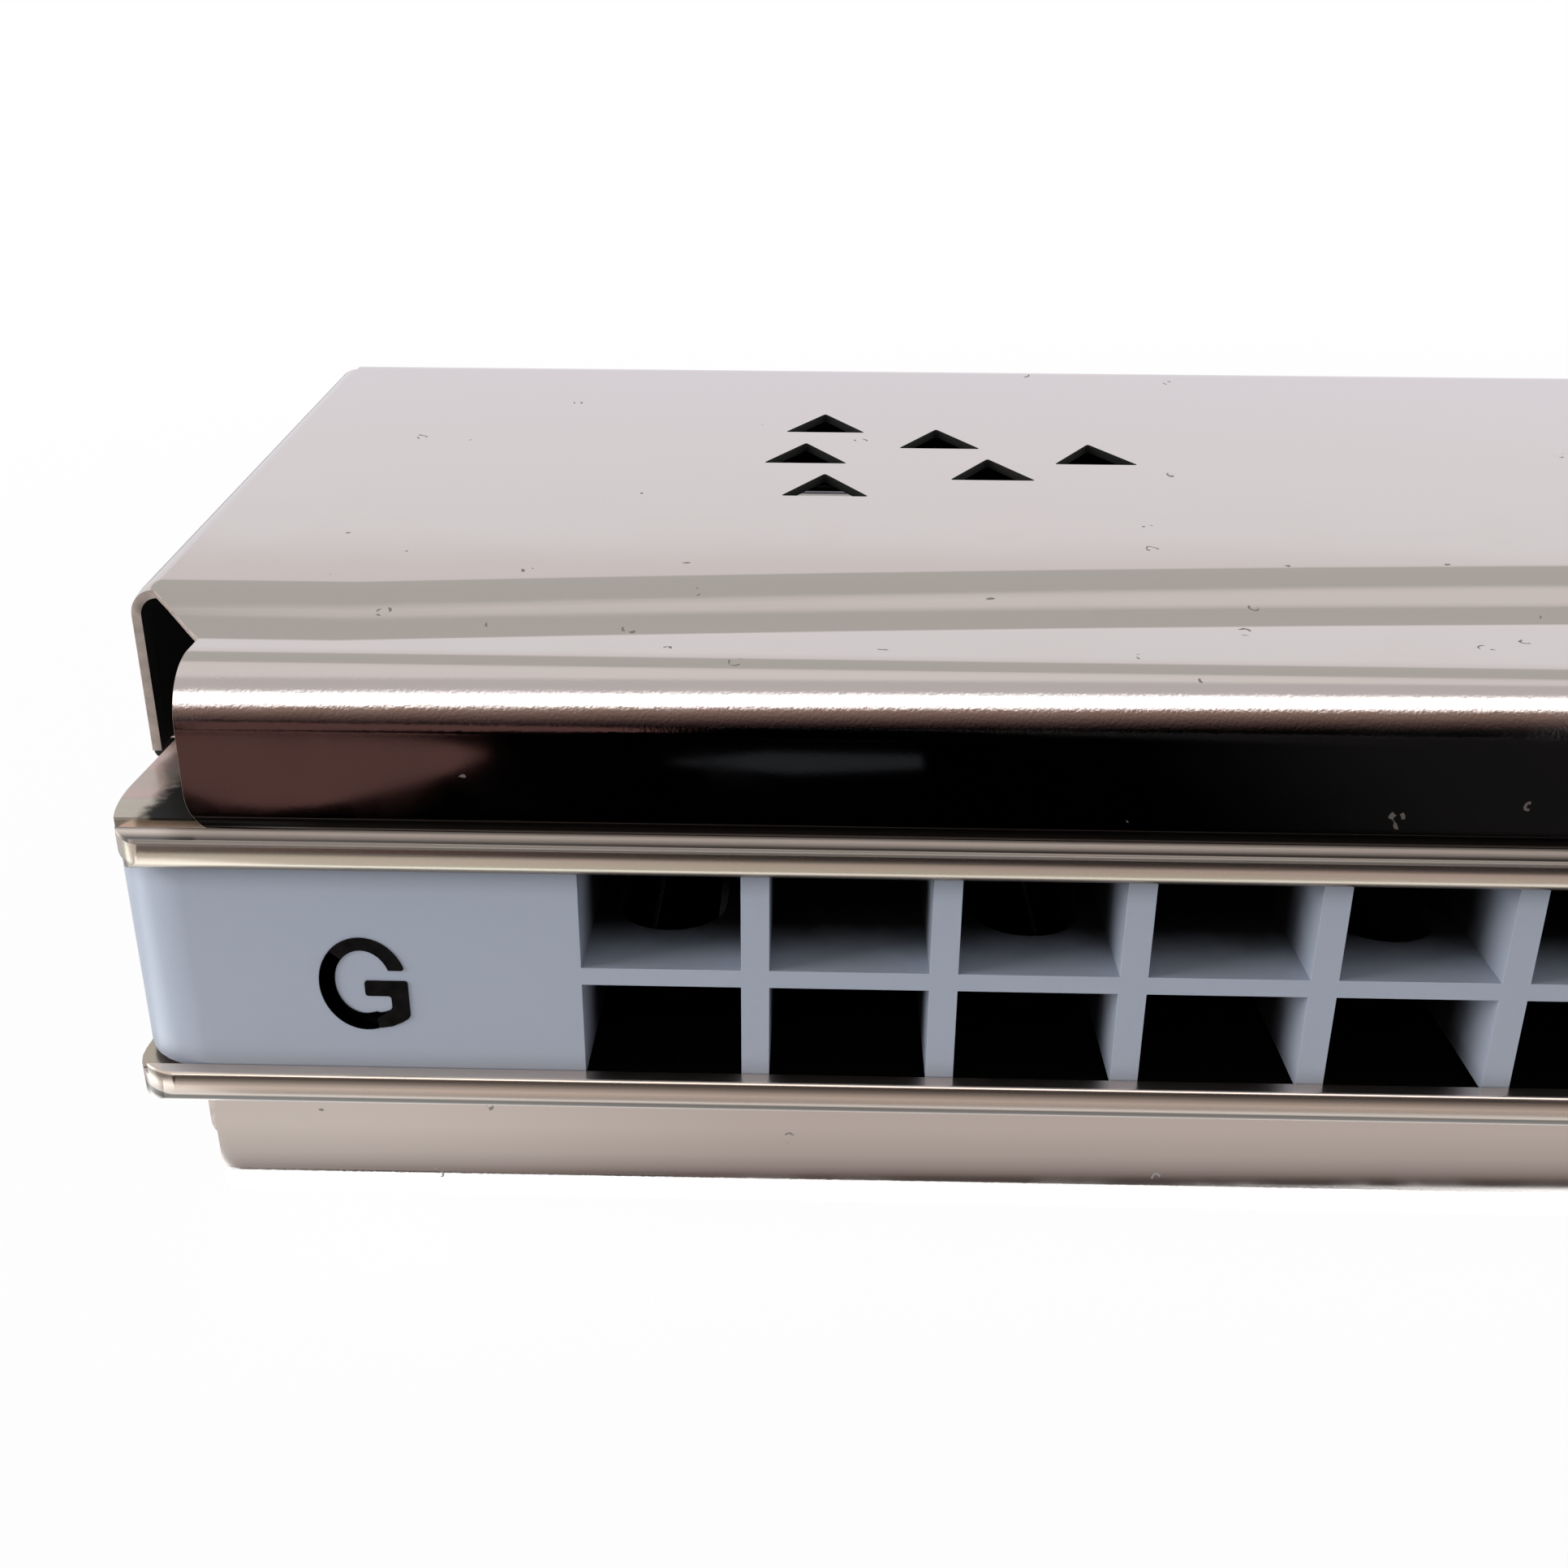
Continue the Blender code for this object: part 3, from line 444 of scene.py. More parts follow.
def turned_steel():
    """Plated steel of bolts, nuts and screws."""
    made, tree, shader, place = start_material("turned_steel")
    grain = noise(tree, place, 1600.0, 5.0)
    base = ramp(tree, grain, ((0.3, (0.5, 0.49, 0.47)), (0.7, (0.68, 0.67, 0.65))))
    give(tree, shader, Base_Color=base, Metallic=1.0, Roughness=maths(tree, "MULTIPLY_ADD", grain, 0.3, 0.14))
    return made


def printed_ink():
    """Black ink of the key letter, slightly uneven."""
    made, tree, shader, place = start_material("printed_ink")
    grain = noise(tree, place, 2500.0, 3.0)
    base = ramp(tree, grain, ((0.3, (0.002, 0.002, 0.002)), (0.7, (0.008, 0.007, 0.007))))
    give(tree, shader, Base_Color=base, Roughness=maths(tree, "MULTIPLY_ADD", grain, 0.2, 0.3),
         Specular_IOR_Level=0.05)
    return made


def make_finishes(settings):
    groups = {"lint": lint_group(), "smudge": smudge_group(), "streak": streak_group()}
    return {
        "cover": bright_plating(groups, settings),
        "inside": painted_dark_inside(),
        "edge": cut_edge(settings),
        "plate": champagne_plating(groups, settings),
        "comb": comb_plastic(settings),
        "reed": filed_brass(),
        "steel": turned_steel(),
        "ink": printed_ink(),
    }


FINISHES = {}


def finish_for(key):
    """One material for each finish. All are made on first use."""
    if not FINISHES:
        FINISHES.update(make_finishes(bpy.context.scene.harmonica_finish))
    return FINISHES[key]


# Modelling helpers

def deselect():
    if bpy.context.object and bpy.context.object.mode != "OBJECT":
        bpy.ops.object.mode_set(mode="OBJECT")
    bpy.ops.object.select_all(action="DESELECT")


def edit(piece, action="DESELECT"):
    """Edit mode on one piece, with all or nothing in it selected."""
    deselect()
    piece.select_set(True)
    bpy.context.view_layer.objects.active = piece
    bpy.ops.object.mode_set(mode="EDIT")
    bpy.ops.mesh.select_mode(type="VERT")
    bpy.ops.mesh.select_all(action=action)


def pick(test):
    """Selects those points of the piece in edit mode whose place passes a test."""
    mesh = bpy.context.object.data
    made = bmesh.from_edit_mesh(mesh)
    for point in made.verts:
        point.select_set(test(point.co))
    made.select_flush_mode()
    bmesh.update_edit_mesh(mesh)


def pick_edges(test, sharp=0):
    """Selects those edges of the piece in edit mode whose two ends pass a test, and that bend enough."""
    bpy.ops.mesh.select_mode(type="EDGE")
    mesh = bpy.context.object.data
    made = bmesh.from_edit_mesh(mesh)
    for line in made.edges:
        bent = line.calc_face_angle(math.pi) > sharp
        line.select_set(bent and test(line.verts[0].co, line.verts[1].co))
    made.select_flush_mode()
    bmesh.update_edit_mesh(mesh)


def shift(x, y, z):
    bpy.ops.transform.translate(value=(x, y, z))


def draw_out(x, y, z):
    bpy.ops.mesh.extrude_region_move(TRANSFORM_OT_translate={"value": (x, y, z)})


def single_point(name, place):
    """A new piece that is one point, to be drawn out. It stays in edit mode."""
    deselect()
    bpy.ops.mesh.primitive_plane_add(size=MM, location=(0, 0, 0))
    piece = bpy.context.object
    piece.name = name
    edit(piece, "SELECT")
    bpy.ops.mesh.merge(type="CENTER")
    shift(*place)
    return piece


def apply_modifier(piece, kind, **settings):
    deselect()
    piece.select_set(True)
    bpy.context.view_layer.objects.active = piece
    step = piece.modifiers.new(kind.lower(), kind)
    for key, value in settings.items():
        setattr(step, key, value)
    bpy.ops.object.modifier_apply(modifier=step.name)


def cut(piece, tool, operation="DIFFERENCE"):
    """Cuts a piece with a closed body, or joins them, and removes the tool. Cut faces take the tool's finish."""
    apply_modifier(piece, "BOOLEAN", operation=operation, solver="EXACT", object=tool, material_mode="TRANSFER")
    bpy.data.objects.remove(tool)


def joined(pieces):
    """One object from several."""
    deselect()
    for piece in pieces:
        piece.select_set(True)
    bpy.context.view_layer.objects.active = pieces[0]
    bpy.ops.object.join()
    return pieces[0]


def settled(piece):
    """Puts the object's place and size into its mesh."""
    deselect()
    piece.select_set(True)
    bpy.context.view_layer.objects.active = piece
    bpy.ops.object.transform_apply(location=True, rotation=True, scale=True)
    return piece


def rod(radius, height, place, corners=64):
    deselect()
    bpy.ops.mesh.primitive_cylinder_add(vertices=corners, radius=radius, depth=height, location=place)
    return settled(bpy.context.object)


def block(size, place):
    deselect()
    bpy.ops.mesh.primitive_cube_add(size=1.0, location=place, scale=size)
    return settled(bpy.context.object)


def eased(piece, width, segments=2, angle=40, finish=-1):
    """Rounds the edges, then shades round stretches smooth and leaves wide faces flat."""
    apply_modifier(piece, "BEVEL", width=width, segments=segments, material=finish, limit_method="ANGLE",
                   angle_limit=math.radians(angle))
    bpy.ops.object.shade_smooth_by_angle(angle=math.radians(35))
    apply_modifier(piece, "WEIGHTED_NORMAL", keep_sharp=True, weight=50)


def duplicate(source):
    deselect()
    source.select_set(True)
    bpy.context.view_layer.objects.active = source
    bpy.ops.object.duplicate()
    return bpy.context.object


def copied(node, name):
    """A copy of a CAD node with welded corners and whole flat faces."""
    piece = duplicate(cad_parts[node])
    piece.name = name
    piece.parent = None
    for key in list(piece.keys()):
        del piece[key]
    edit(piece, "SELECT")
    bpy.ops.mesh.remove_doubles(threshold=0.002 * MM)
    bpy.ops.mesh.dissolve_limited(angle_limit=math.radians(0.4))
    deselect()
    return piece


def dress(piece, finishes, slot_name, *nodes):
    """Gives a piece its finishes and its body, and hides the CAD nodes that it stands for."""
    for place, finish in enumerate(finishes):
        if place < len(piece.data.materials):
            piece.data.materials[place] = finish_for(finish)
        else:
            piece.data.materials.append(finish_for(finish))
    while len(piece.data.materials) > len(finishes):
        piece.data.materials.pop()
    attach(piece, ROOT)
    if nodes:
        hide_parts(*nodes)


# Covers

def shoulder_height(share, lip_level, panel_level):
    """Height between the crease, at share 0, and the flat panel, at share 1: a soft S."""
    rest = 1 - share
    run = PANEL_FRONT - CREASE_BACK
    height = lip_level * rest ** 2 * (1 + 2 * share) + panel_level * share ** 2 * (1 + 2 * rest)
    height += run * math.tan(CREASE_TURN) * share * rest ** 2
    return height - run * math.tan(PANEL_RISE) * share ** 2 * rest


def lip_level(back):
    return LIP_TOP_HEIGHT + (back - LIP_TOP_BACK) * math.tan(LIP_RISE)


def panel_level(back):
    return PANEL_HEIGHT + (back - PANEL_FRONT) * math.tan(PANEL_RISE)


def arc_points(centre, radii, start, end, steps):
    points = []
    for step in range(steps + 1):
        turn = math.radians(start + (end - start) * step / steps)
        points.append((centre[0] + radii[0] * math.cos(turn), centre[1] + radii[1] * math.sin(turn)))
    return points


def cover_section():
    """Rows of the cover's outer surface as depth, height, inset of the row's ends, and how far it bows.

    The two shares of the bow tell how much of it follows the lip's plane and how much the panel's.
    """
    rows = []
    for inset, z in arc_points((0, LIP_FOOT + LIP_CORNER_RISE), (LIP_CORNER, LIP_CORNER_RISE), -90, 0, 10):
        lean = LIP_LEAN * (z - LIP_FOOT) / (LIP_WALL_TOP - LIP_FOOT)
        rows.append((LIP_FRONT + lean, z, LIP_CORNER - inset, None))
    centre = (LIP_FRONT + LIP_LEAN + LIP_ROUND, LIP_WALL_TOP)
    for back, z in arc_points(centre, (LIP_ROUND, LIP_ROUND), 180, 104, 18):
        rows.append((back, z, 0, None))
    for back, z in ((2.25, 10.285), (2.5, 10.309), (2.94, 10.33)):
        rows.append((back * MM, z * MM, 0, None))
    for share in SHOULDER_SHARES:
        back = CREASE_BACK + (PANEL_FRONT - CREASE_BACK) * share
        slant = min(1, max(0, (back - CREASE_BACK) / (WALL_FRONT - CREASE_BACK)))
        if share < 0:
            z, bow = lip_level(back), (1, 0)
        elif share > 1:
            z, bow = panel_level(back), (0, 1)
        else:
            z = shoulder_height(share, lip_level(CREASE_BACK), panel_level(PANEL_FRONT))
            bow = (shoulder_height(share, 1, 0) - shoulder_height(share, 0, 0),
                   shoulder_height(share, 0, 1) - shoulder_height(share, 0, 0))
        rows.append((back, z, -slant, bow))
    rows.append((TAB_FRONT, panel_level(TAB_FRONT), -1, (0, 1)))
    for back in (TAB_BACK, WALL_BACK):
        rows.append((back, panel_level(back), -1, None))
    top = panel_level(PANEL_BACK)
    start = 90 + math.degrees(PANEL_RISE)
    centre = (PANEL_BACK, top - BACK_ROUND)
    bend = arc_points(centre, (BACK_ROUND, BACK_ROUND), start, 0, 16)
    for back, z in bend[:1] + bend[2:]:
        rows.append((back, z, -1, None))
    low = top - BACK_ROUND - BACK_LIP
    hem = (PANEL_BACK + BACK_ROUND - BACK_HEM, low)
    for back, z in arc_points(hem, (BACK_HEM, BACK_HEM), 0, -180, 12):
        rows.append((back, z, -2, None))
    return rows


def row_place(row):
    return MOUTH_Y + row[0], row[1]


def spread_ends(rows, lip_x):
    """Moves the ends of the rows in for the lip's round corners, or out to the panel's edge."""
    for back, z, inset, bow in rows:
        if inset == -2:
            out = EDGE_X - FOLD - lip_x
        elif inset < 0:
            out = (EDGE_X - lip_x) * -inset
        else:
            out = -inset
        if out:
            y = MOUTH_Y + back
            for end in ENDS:
                place = Vector((end * lip_x, y, z))
                pick(lambda co: (co - place).length < NEAR)
                shift(end * out, 0, 0)


def bow_shoulder(rows, stations):
    """Carries the crease, the shoulder and the panel's front to the rear between the ends."""
    for back, z, inset, bow in rows:
        if not bow:
            continue
        rise = bow[0] * math.tan(LIP_RISE) + bow[1] * math.tan(PANEL_RISE)
        for x in stations:
            reach = CREASE_BOW * (1 - (x / BOW_X) ** 2)
            if x <= 0 and reach > NEAR:
                y = MOUTH_Y + back
                pick(lambda co: abs(abs(co.x) + x) < NEAR and abs(co.y - y) < NEAR and abs(co.z - z) < NEAR)
                shift(0, reach, reach * rise)


def foot_drop(back):
    """How far the end wall's foot lies below the tab's level, in front of the tab and behind it."""
    before = (TAB_FRONT - back) / (TAB_FRONT - WALL_FRONT)
    behind = (back - TAB_BACK) / (WALL_BACK - TAB_BACK)
    return SHEET * max(before, behind, 0)


def fold_ends(rows):
    """Folds the panel's edges down to the end walls, and turns the tabs out at their feet."""
    walled = [row for row in rows if WALL_FRONT - NEAR < row[0] < WALL_BACK + NEAR and row[1] > 10 * MM]
    for end in ENDS:
        low, high = MOUTH_Y + WALL_FRONT - NEAR * 2, MOUTH_Y + WALL_BACK + NEAR * 2
        pick(lambda co: abs(co.x - end * EDGE_X) < NEAR and low < co.y < high)
        turns = arc_points((0, 0), (FOLD, FOLD), 90, 0, 10)
        for before, after in zip(turns, turns[1:]):
            draw_out(end * (after[0] - before[0]), 0, after[1] - before[1])
        draw_out(0, 0, -MM)
        bpy.ops.transform.resize(value=(1, 1, 0), center_override=(end * WALL_X, 0, TAB_TOP))
        for back, z, inset, bow in walled:
            drop = foot_drop(back)
            if drop > 0:
                place = Vector((end * WALL_X, MOUTH_Y + back, TAB_TOP))
                pick(lambda co: (co - place).length < NEAR)
                shift(0, 0, -drop)
        low, high = MOUTH_Y + TAB_FRONT - NEAR, MOUTH_Y + TAB_BACK + NEAR
        pick(lambda co: abs(co.x - end * WALL_X) < NEAR and abs(co.z - TAB_TOP) < NEAR and low < co.y < high)
        draw_out(end * (TAB_X - WALL_X), 0, 0)
        bpy.ops.mesh.bevel(offset=TAB_CORNER, segments=8, affect="VERTICES")


def vent_tool(x, back):
    """A three-cornered punch with rounded corners."""
    radius = 1.0 * MM
    y = MOUTH_Y + back + VENT_HEIGHT / 3
    punch = rod(radius, 3 * MM, (0, 0, 0), 3)
    edit(punch)
    pick_edges(lambda first, second: abs(first.z - second.z) > MM)
    bpy.ops.mesh.bevel(offset=0.07 * MM, segments=4)
    deselect()
    punch.scale = (VENT_SIDE / (radius * math.sqrt(3)), VENT_HEIGHT / (radius * 1.5), 1)
    punch.location = (x, y, panel_level(back))
    return settled(punch)


def make_cover(name, side, lip_short, edge):
    """One cover, from a section drawn point by point and carried along the instrument."""
    lip_x = HALF_COMB - lip_short
    rows = cover_section()
    y, z = row_place(rows[0])
    cover = single_point(name, (-lip_x, y, z))
    for before, after in zip(rows, rows[1:]):
        draw_out(0, after[0] - before[0], after[1] - before[1])
    stations = [BOW_X * (2 * step / SPANS - 1) for step in range(SPANS + 1)]
    bpy.ops.mesh.select_all(action="SELECT")
    for before, after in zip([-lip_x] + stations, stations + [lip_x]):
        draw_out(after - before, 0, 0)
    spread_ends(rows, lip_x)
    bow_shoulder(rows, stations)
    fold_ends(rows)
    bpy.ops.mesh.select_all(action="SELECT")
    bpy.ops.mesh.remove_doubles(threshold=0.002 * MM)
    bpy.ops.mesh.normals_make_consistent(inside=False)
    deselect()
    panel = max(cover.data.polygons, key=lambda face: face.area)
    if panel.normal.z < 0:
        edit(cover, "SELECT")
        bpy.ops.mesh.flip_normals()
        deselect()
    for finish in ("cover", "inside", "edge"):
        cover.data.materials.append(finish_for(finish))
    apply_modifier(cover, "SOLIDIFY", thickness=SHEET, offset=-1, use_even_offset=True,
                   use_quality_normals=True, material_offset=1, material_offset_rim=2)
    tools = []
    for end in ENDS:
        ear = rod(EAR_RADIUS, SHEET, (end * EAR_X, EAR_Y, TAB_TOP - SHEET / 2))
        ear.data.materials.append(finish_for("cover"))
        cut(cover, ear, "UNION")
        tools.append(rod(BOLT_HOLE, 2 * MM, (end * EAR_X, EAR_Y, TAB_TOP)))
        for from_cells, back in VENTS_FROM_CELLS:
            tools.append(vent_tool(end * (CELLS_END - from_cells), back))
    punches = joined(tools)
    punches.data.materials.append(finish_for("inside"))
    cut(cover, punches)
    if side < 0:
        turn_over(cover)
    eased(cover, edge, 2, 50, 2)
    return cover


# Reed plates

BEAD_REACH = 0.65 * MM
BEAD_CUT = 0.42 * MM
UPPER_BEAD = (5.0, 3.85, 4.1, ((BEAD_CUT / MM, 5.0),))
LOWER_BEAD = (-3.66, -5.0, -5.0, ((-0.03, -3.66), (-0.03, -4.1), (BEAD_CUT / MM, -4.1)))
# Painted light and shade on the upper bead's top ledge, as pairs of millimetres from the mouth and share.
LEDGE_LIGHT_AND_SHADE = ((0.42, 0.14), (0.3, 0.5), (0.2, 0.95), (0.05, 0.95), (-0.05, 0.75), (-0.2, 0.42), (-0.35, 0.1),
               (-0.45, 0.06), (-0.5, 0.38), (-0.6, 0.26))
# Painted light and shade on the lower bead's nose, as pairs of height in millimetres and share.
NOSE_LIGHT_AND_SHADE = ((-3.66, 1.0), (-3.73, 0.9), (-3.79, 0.25), (-3.9, 0.3), (-4.02, 0.56), (-4.15, 0.78), (-4.28, 0.65),
              (-4.4, 0.5), (-4.5, 0.45), (-4.58, 0.1), (-4.75, 0.06), (-4.95, 0.7))
UPPER_PLATE_CORNER = (2.1 * MM, 4.5 * MM)
LOWER_PLATE_CORNER = (2.2 * MM, 2.2 * MM)


def bead_section(top, lowest, under, heel):
    """Section of a plate's front bead: flat top, tight upper edge, upright nose and a round underside."""
    points = [(BEAD_CUT / MM, under), (-0.12, under)]
    points += arc_points((-0.1, top - 0.36), (0.55, top - 0.36 - lowest), 267, 180, 14)
    points += arc_points((0.55, top - 0.36), (1.2, 1.2), 180, 168, 3)[1:]
    points += arc_points((-0.487, top - 0.14), (0.14, 0.14), 168, 90, 8)[1:]
    return points + list(heel)


def make_bead(name, section):
    """A plate's bead, drawn as a section and carried from end to end."""
    points = bead_section(*section)
    back, z = points[0]
    bead = single_point(name, (-HALF_COMB, MOUTH_Y + back * MM, z * MM))
    for before, after in zip(points, points[1:]):
        draw_out(0, (after[0] - before[0]) * MM, (after[1] - before[1]) * MM)
    bpy.ops.mesh.select_all(action="SELECT")
    bpy.ops.mesh.edge_face_add()
    draw_out(HALF_COMB * 2, 0, 0)
    bpy.ops.mesh.select_all(action="SELECT")
    bpy.ops.mesh.normals_make_consistent(inside=False)
    deselect()
    return bead


def turn_over(piece):
    """Mirrors a piece from the upper side to the lower side."""
    edit(piece, "SELECT")
    bpy.ops.transform.resize(value=(1, 1, -1), center_override=(0, 0, 0))
    bpy.ops.mesh.flip_normals()
    deselect()


def corner_tool(end, corner, side):
    """A block with a round hollow, which trims a plate's front corner."""
    centre = (end * (HALF_COMB - corner[0]), MOUTH_Y - BEAD_REACH + corner[1], side * PLATE_TOP)
    place = (centre[0] + end * corner[0], centre[1] - corner[1], centre[2])
    tool = block((corner[0] * 2, corner[1] * 2, 4 * MM), place)
    deselect()
    bpy.ops.mesh.primitive_cylinder_add(vertices=128, radius=1.0, depth=5 * MM, location=centre)
    hollow = bpy.context.object
    hollow.scale = (corner[0], corner[1], 1)
    cut(tool, settled(hollow))
    return tool


def make_plate(word, side, corner, edge):
    """One reed plate: the CAD's sheet with its slots and rivets, and a finely drawn bead in front."""
    sheet = copied(word + "_reed_plate", word + "_plate_sheet")
    edit(sheet, "SELECT")
    bpy.ops.mesh.bisect(plane_co=(0, MOUTH_Y + BEAD_CUT, 0), plane_no=(0, 1, 0), use_fill=True, clear_inner=True)
    if side > 0:
        bead = make_bead("upper_bead", UPPER_BEAD)
    else:
        bead = make_bead("lower_bead", LOWER_BEAD)
    tools = [corner_tool(end, corner, side) for end in ENDS]
    cutter = joined(tools)
    bead_cutter = duplicate(cutter)
    cut(sheet, cutter)
    cut(bead, bead_cutter)
    plate = joined([sheet, bead])
    eased(plate, edge)
    return plate


# Through bolts

BOLT_RADIUS = 1.0 * MM
HEAD_RADIUS = 1.9 * MM
HEAD_HEIGHT = 1.1 * MM
NUT_RADIUS = 2.2 * MM
NUT_HEIGHT = 1.5 * MM


def bolt_end(word):
    """The place of one through bolt, and the height where its head starts."""
    low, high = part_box("cover_bolt_" + word)
    return (low.x + high.x) / 2, (low.y + high.y) / 2, low.z, high.z - HEAD_HEIGHT


def make_bolt(word):
    """A bolt with a low round head and a cross recess, spun from its section."""
    x, y, end_z, seat = bolt_end(word)
    bolt = single_point("cover_bolt_" + word + "_fine", (x, y, end_z))
    chamfer = 0.15 * MM
    steps = [(BOLT_RADIUS - chamfer, 0), (chamfer, chamfer), (0, seat - end_z - chamfer)]
    steps.append((HEAD_RADIUS - BOLT_RADIUS, 0))
    dome = arc_points((0, 0), (HEAD_RADIUS, HEAD_HEIGHT), 0, 90, 12)
    steps += [(after[0] - before[0], after[1] - before[1]) for before, after in zip(dome, dome[1:])]
    for out, up in steps:
        draw_out(out, 0, up)
    bpy.ops.mesh.select_all(action="SELECT")
    bpy.ops.mesh.spin(steps=48, angle=math.tau, center=(x, y, 0), axis=(0, 0, 1))
    bpy.ops.mesh.select_all(action="SELECT")
    bpy.ops.mesh.remove_doubles(threshold=0.002 * MM)
    bpy.ops.mesh.normals_make_consistent(inside=False)
    deselect()
    arm = (2.2 * MM, 0.42 * MM, HEAD_HEIGHT)
    level = seat + HEAD_HEIGHT * 1.1
    cut(bolt, block(arm, (x, y, level)))
    cut(bolt, block((arm[1], arm[0], arm[2]), (x, y, level)))
    eased(bolt, 0.05 * MM, 2, 40)
    return bolt


def make_nut(word):
    """A six-sided nut, bored for the bolt, with turned-down corners."""
    x, y, end_z, seat = bolt_end(word)
    low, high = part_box("cover_nut_" + word)
    place = (x, y, (low.z + high.z) / 2)
    turned = rod(NUT_RADIUS, NUT_HEIGHT, place)
    edit(turned)
    pick_edges(lambda first, second: abs(first.z - second.z) < NEAR)
    bpy.ops.mesh.bevel(offset=0.28 * MM, segments=1)
    nut = rod(NUT_RADIUS, NUT_HEIGHT, place, 6)
    nut.name = "cover_nut_" + word + "_fine"
    edit(nut, "SELECT")
    bpy.ops.transform.rotate(value=math.radians(30), orient_axis="Z", center_override=place)
    cut(nut, turned, "INTERSECT")
    cut(nut, rod(BOLT_RADIUS + GAP, NUT_HEIGHT * 2, place))
    eased(nut, 0.04 * MM)
    return nut


# Key letter

LETTER_X = -81.2 * MM
LETTER_Z = -0.42 * MM
LETTER_HALF_WIDTH = 1.475 * MM
LETTER_HALF_HEIGHT = 1.74 * MM
INK = 0.05 * MM
SPUR = ((0.894, 0.13), (1.475, 0.13), (1.475, -1.25), (1.2, -1.44), (0.85, -1.6), (0.4, -1.683), (0.35, -1.3),
        (0.894, -0.956))
COUNTER = ((0.2, -0.44), (0.894, -0.44), (0.894, -0.956), (0.66, -1.05), (0.42, -1.1), (0.2, -0.95))


def slab(outline, thickness):
    """A flat piece from the points of an outline, in millimetres, drawn one after another and then filled."""
    x, z = outline[0]
    piece = single_point("slab", (x * MM, 0, z * MM))
    for before, after in zip(outline, outline[1:]):
        draw_out((after[0] - before[0]) * MM, 0, (after[1] - before[1]) * MM)
    bpy.ops.mesh.select_all(action="SELECT")
    bpy.ops.mesh.edge_face_add()
    draw_out(0, -thickness, 0)
    bpy.ops.mesh.select_all(action="SELECT")
    bpy.ops.mesh.normals_make_consistent(inside=False)
    deselect()
    return piece


def oval(half_width, half_height, centre_z, thickness):
    """An upright disc, with its rear face at the depth 0."""
    deselect()
    bpy.ops.mesh.primitive_cylinder_add(
        vertices=48, radius=1.0, depth=thickness, rotation=(math.radians(90), 0, 0),
        location=(0, -thickness / 2, centre_z))
    piece = bpy.context.object
    piece.scale = (half_width, half_height, 1)
    return settled(piece)


def make_key_letter():
    """The key's note name, printed on the comb's left end: a ring with a gap, a bar and a spur."""
    letter = oval(LETTER_HALF_WIDTH, LETTER_HALF_HEIGHT, 0, INK)
    letter.name = "key_letter"
    hollow = oval(0.938 * MM, 1.198 * MM, 0.078 * MM, INK * 3)
    hollow.location.y = INK
    cut(letter, settled(hollow))
    cut(letter, block((1.6 * MM, INK * 3, 0.97 * MM), (1.1 * MM, -INK / 2, 0.045 * MM)))
    counter = slab(COUNTER, INK * 3)
    counter.location.y = INK
    cut(letter, settled(counter))
    cut(letter, slab(SPUR, INK), "UNION")
    cut(letter, slab(((0.04, -0.44), (1.475, -0.44), (1.475, 0.13), (0.04, 0.13)), INK), "UNION")
    edit(letter, "SELECT")
    bpy.ops.mesh.remove_doubles(threshold=0.002 * MM)
    bpy.ops.mesh.dissolve_limited(angle_limit=math.radians(0.5))
    pick_edges(lambda first, second: abs(first.y - second.y) > INK / 2, math.radians(25))
    bpy.ops.mesh.bevel(offset=0.1 * MM, segments=4)
    deselect()
    letter.location = (LETTER_X, MOUTH_Y, LETTER_Z)
    return settled(letter)


# Studio

FLOOR_REACH = 1.5
TENT_RADIUS = 1.2
TENT_HALF = 0.65
TENT_LEVEL = 10 * MM

# Colours of the reflection tent, by the turn in degrees from straight ahead, up and over to the rear
TENT_STOPS = (
    (0, (0.0, 0.0, 0.0)),
    (8, (0.04, 0.025, 0.024)),
    (17, (0.113, 0.07, 0.061)),
    (25, (0.21, 0.143, 0.115)),
    (35, (0.31, 0.2, 0.16)),
    (42, (2.6, 2.55, 2.5)),
    (58, (2.6, 2.6, 2.6)),
    (68, (0.66, 0.63, 0.62)),
    (90, (0.64, 0.625, 0.61)),
    (99, (0.875, 0.844, 0.812)),
    (112, (0.875, 0.844, 0.812)),
    (120.5, (0.82, 0.785, 0.76)),
    (122.2, (0.565, 0.56, 0.52)),
    (148, (0.56, 0.56, 0.525)),
    (150, (0.79, 0.75, 0.735)),
    (153.1, (0.8, 0.76, 0.75)),
    (153.9, (0.89, 0.885, 0.9)),
    (157, (0.9, 0.895, 0.91)),
    (159, (0.9, 0.89, 0.94)),
    (180, (0.9, 0.89, 0.94)),
)
SLANT = math.radians(25)


def glow(name, colour):
    """A finish that only shines, in one colour or in a socket's."""
    made, tree, shader, place = start_material(name)
    give(tree, shader, Base_Color=(0.0, 0.0, 0.0, 1.0), Specular_IOR_Level=0.0, Emission_Color=colour,
         Emission_Strength=1.0)
    return made


def reflection_only(card):
    """Keeps a studio card out of the camera's sight, the soft light and the shadows."""
    card.visible_camera = False
    card.visible_diffuse = False
    card.visible_shadow = False
    return card


def make_card(name, outline, level, finish):
    """A flat card just over the floor, seen only in reflections, from an outline in X and mm ahead of the mouth."""
    x, ahead = outline[0]
    card = single_point(name, (x * MM, MOUTH_Y - ahead * MM, CAD_LOW.z + level))
    for before, after in zip(outline, outline[1:]):
        draw_out((after[0] - before[0]) * MM, (before[1] - after[1]) * MM, 0)
    bpy.ops.mesh.select_all(action="SELECT")
    bpy.ops.mesh.edge_face_add()
    deselect()
    card.data.materials.append(finish)
    return reflection_only(card)


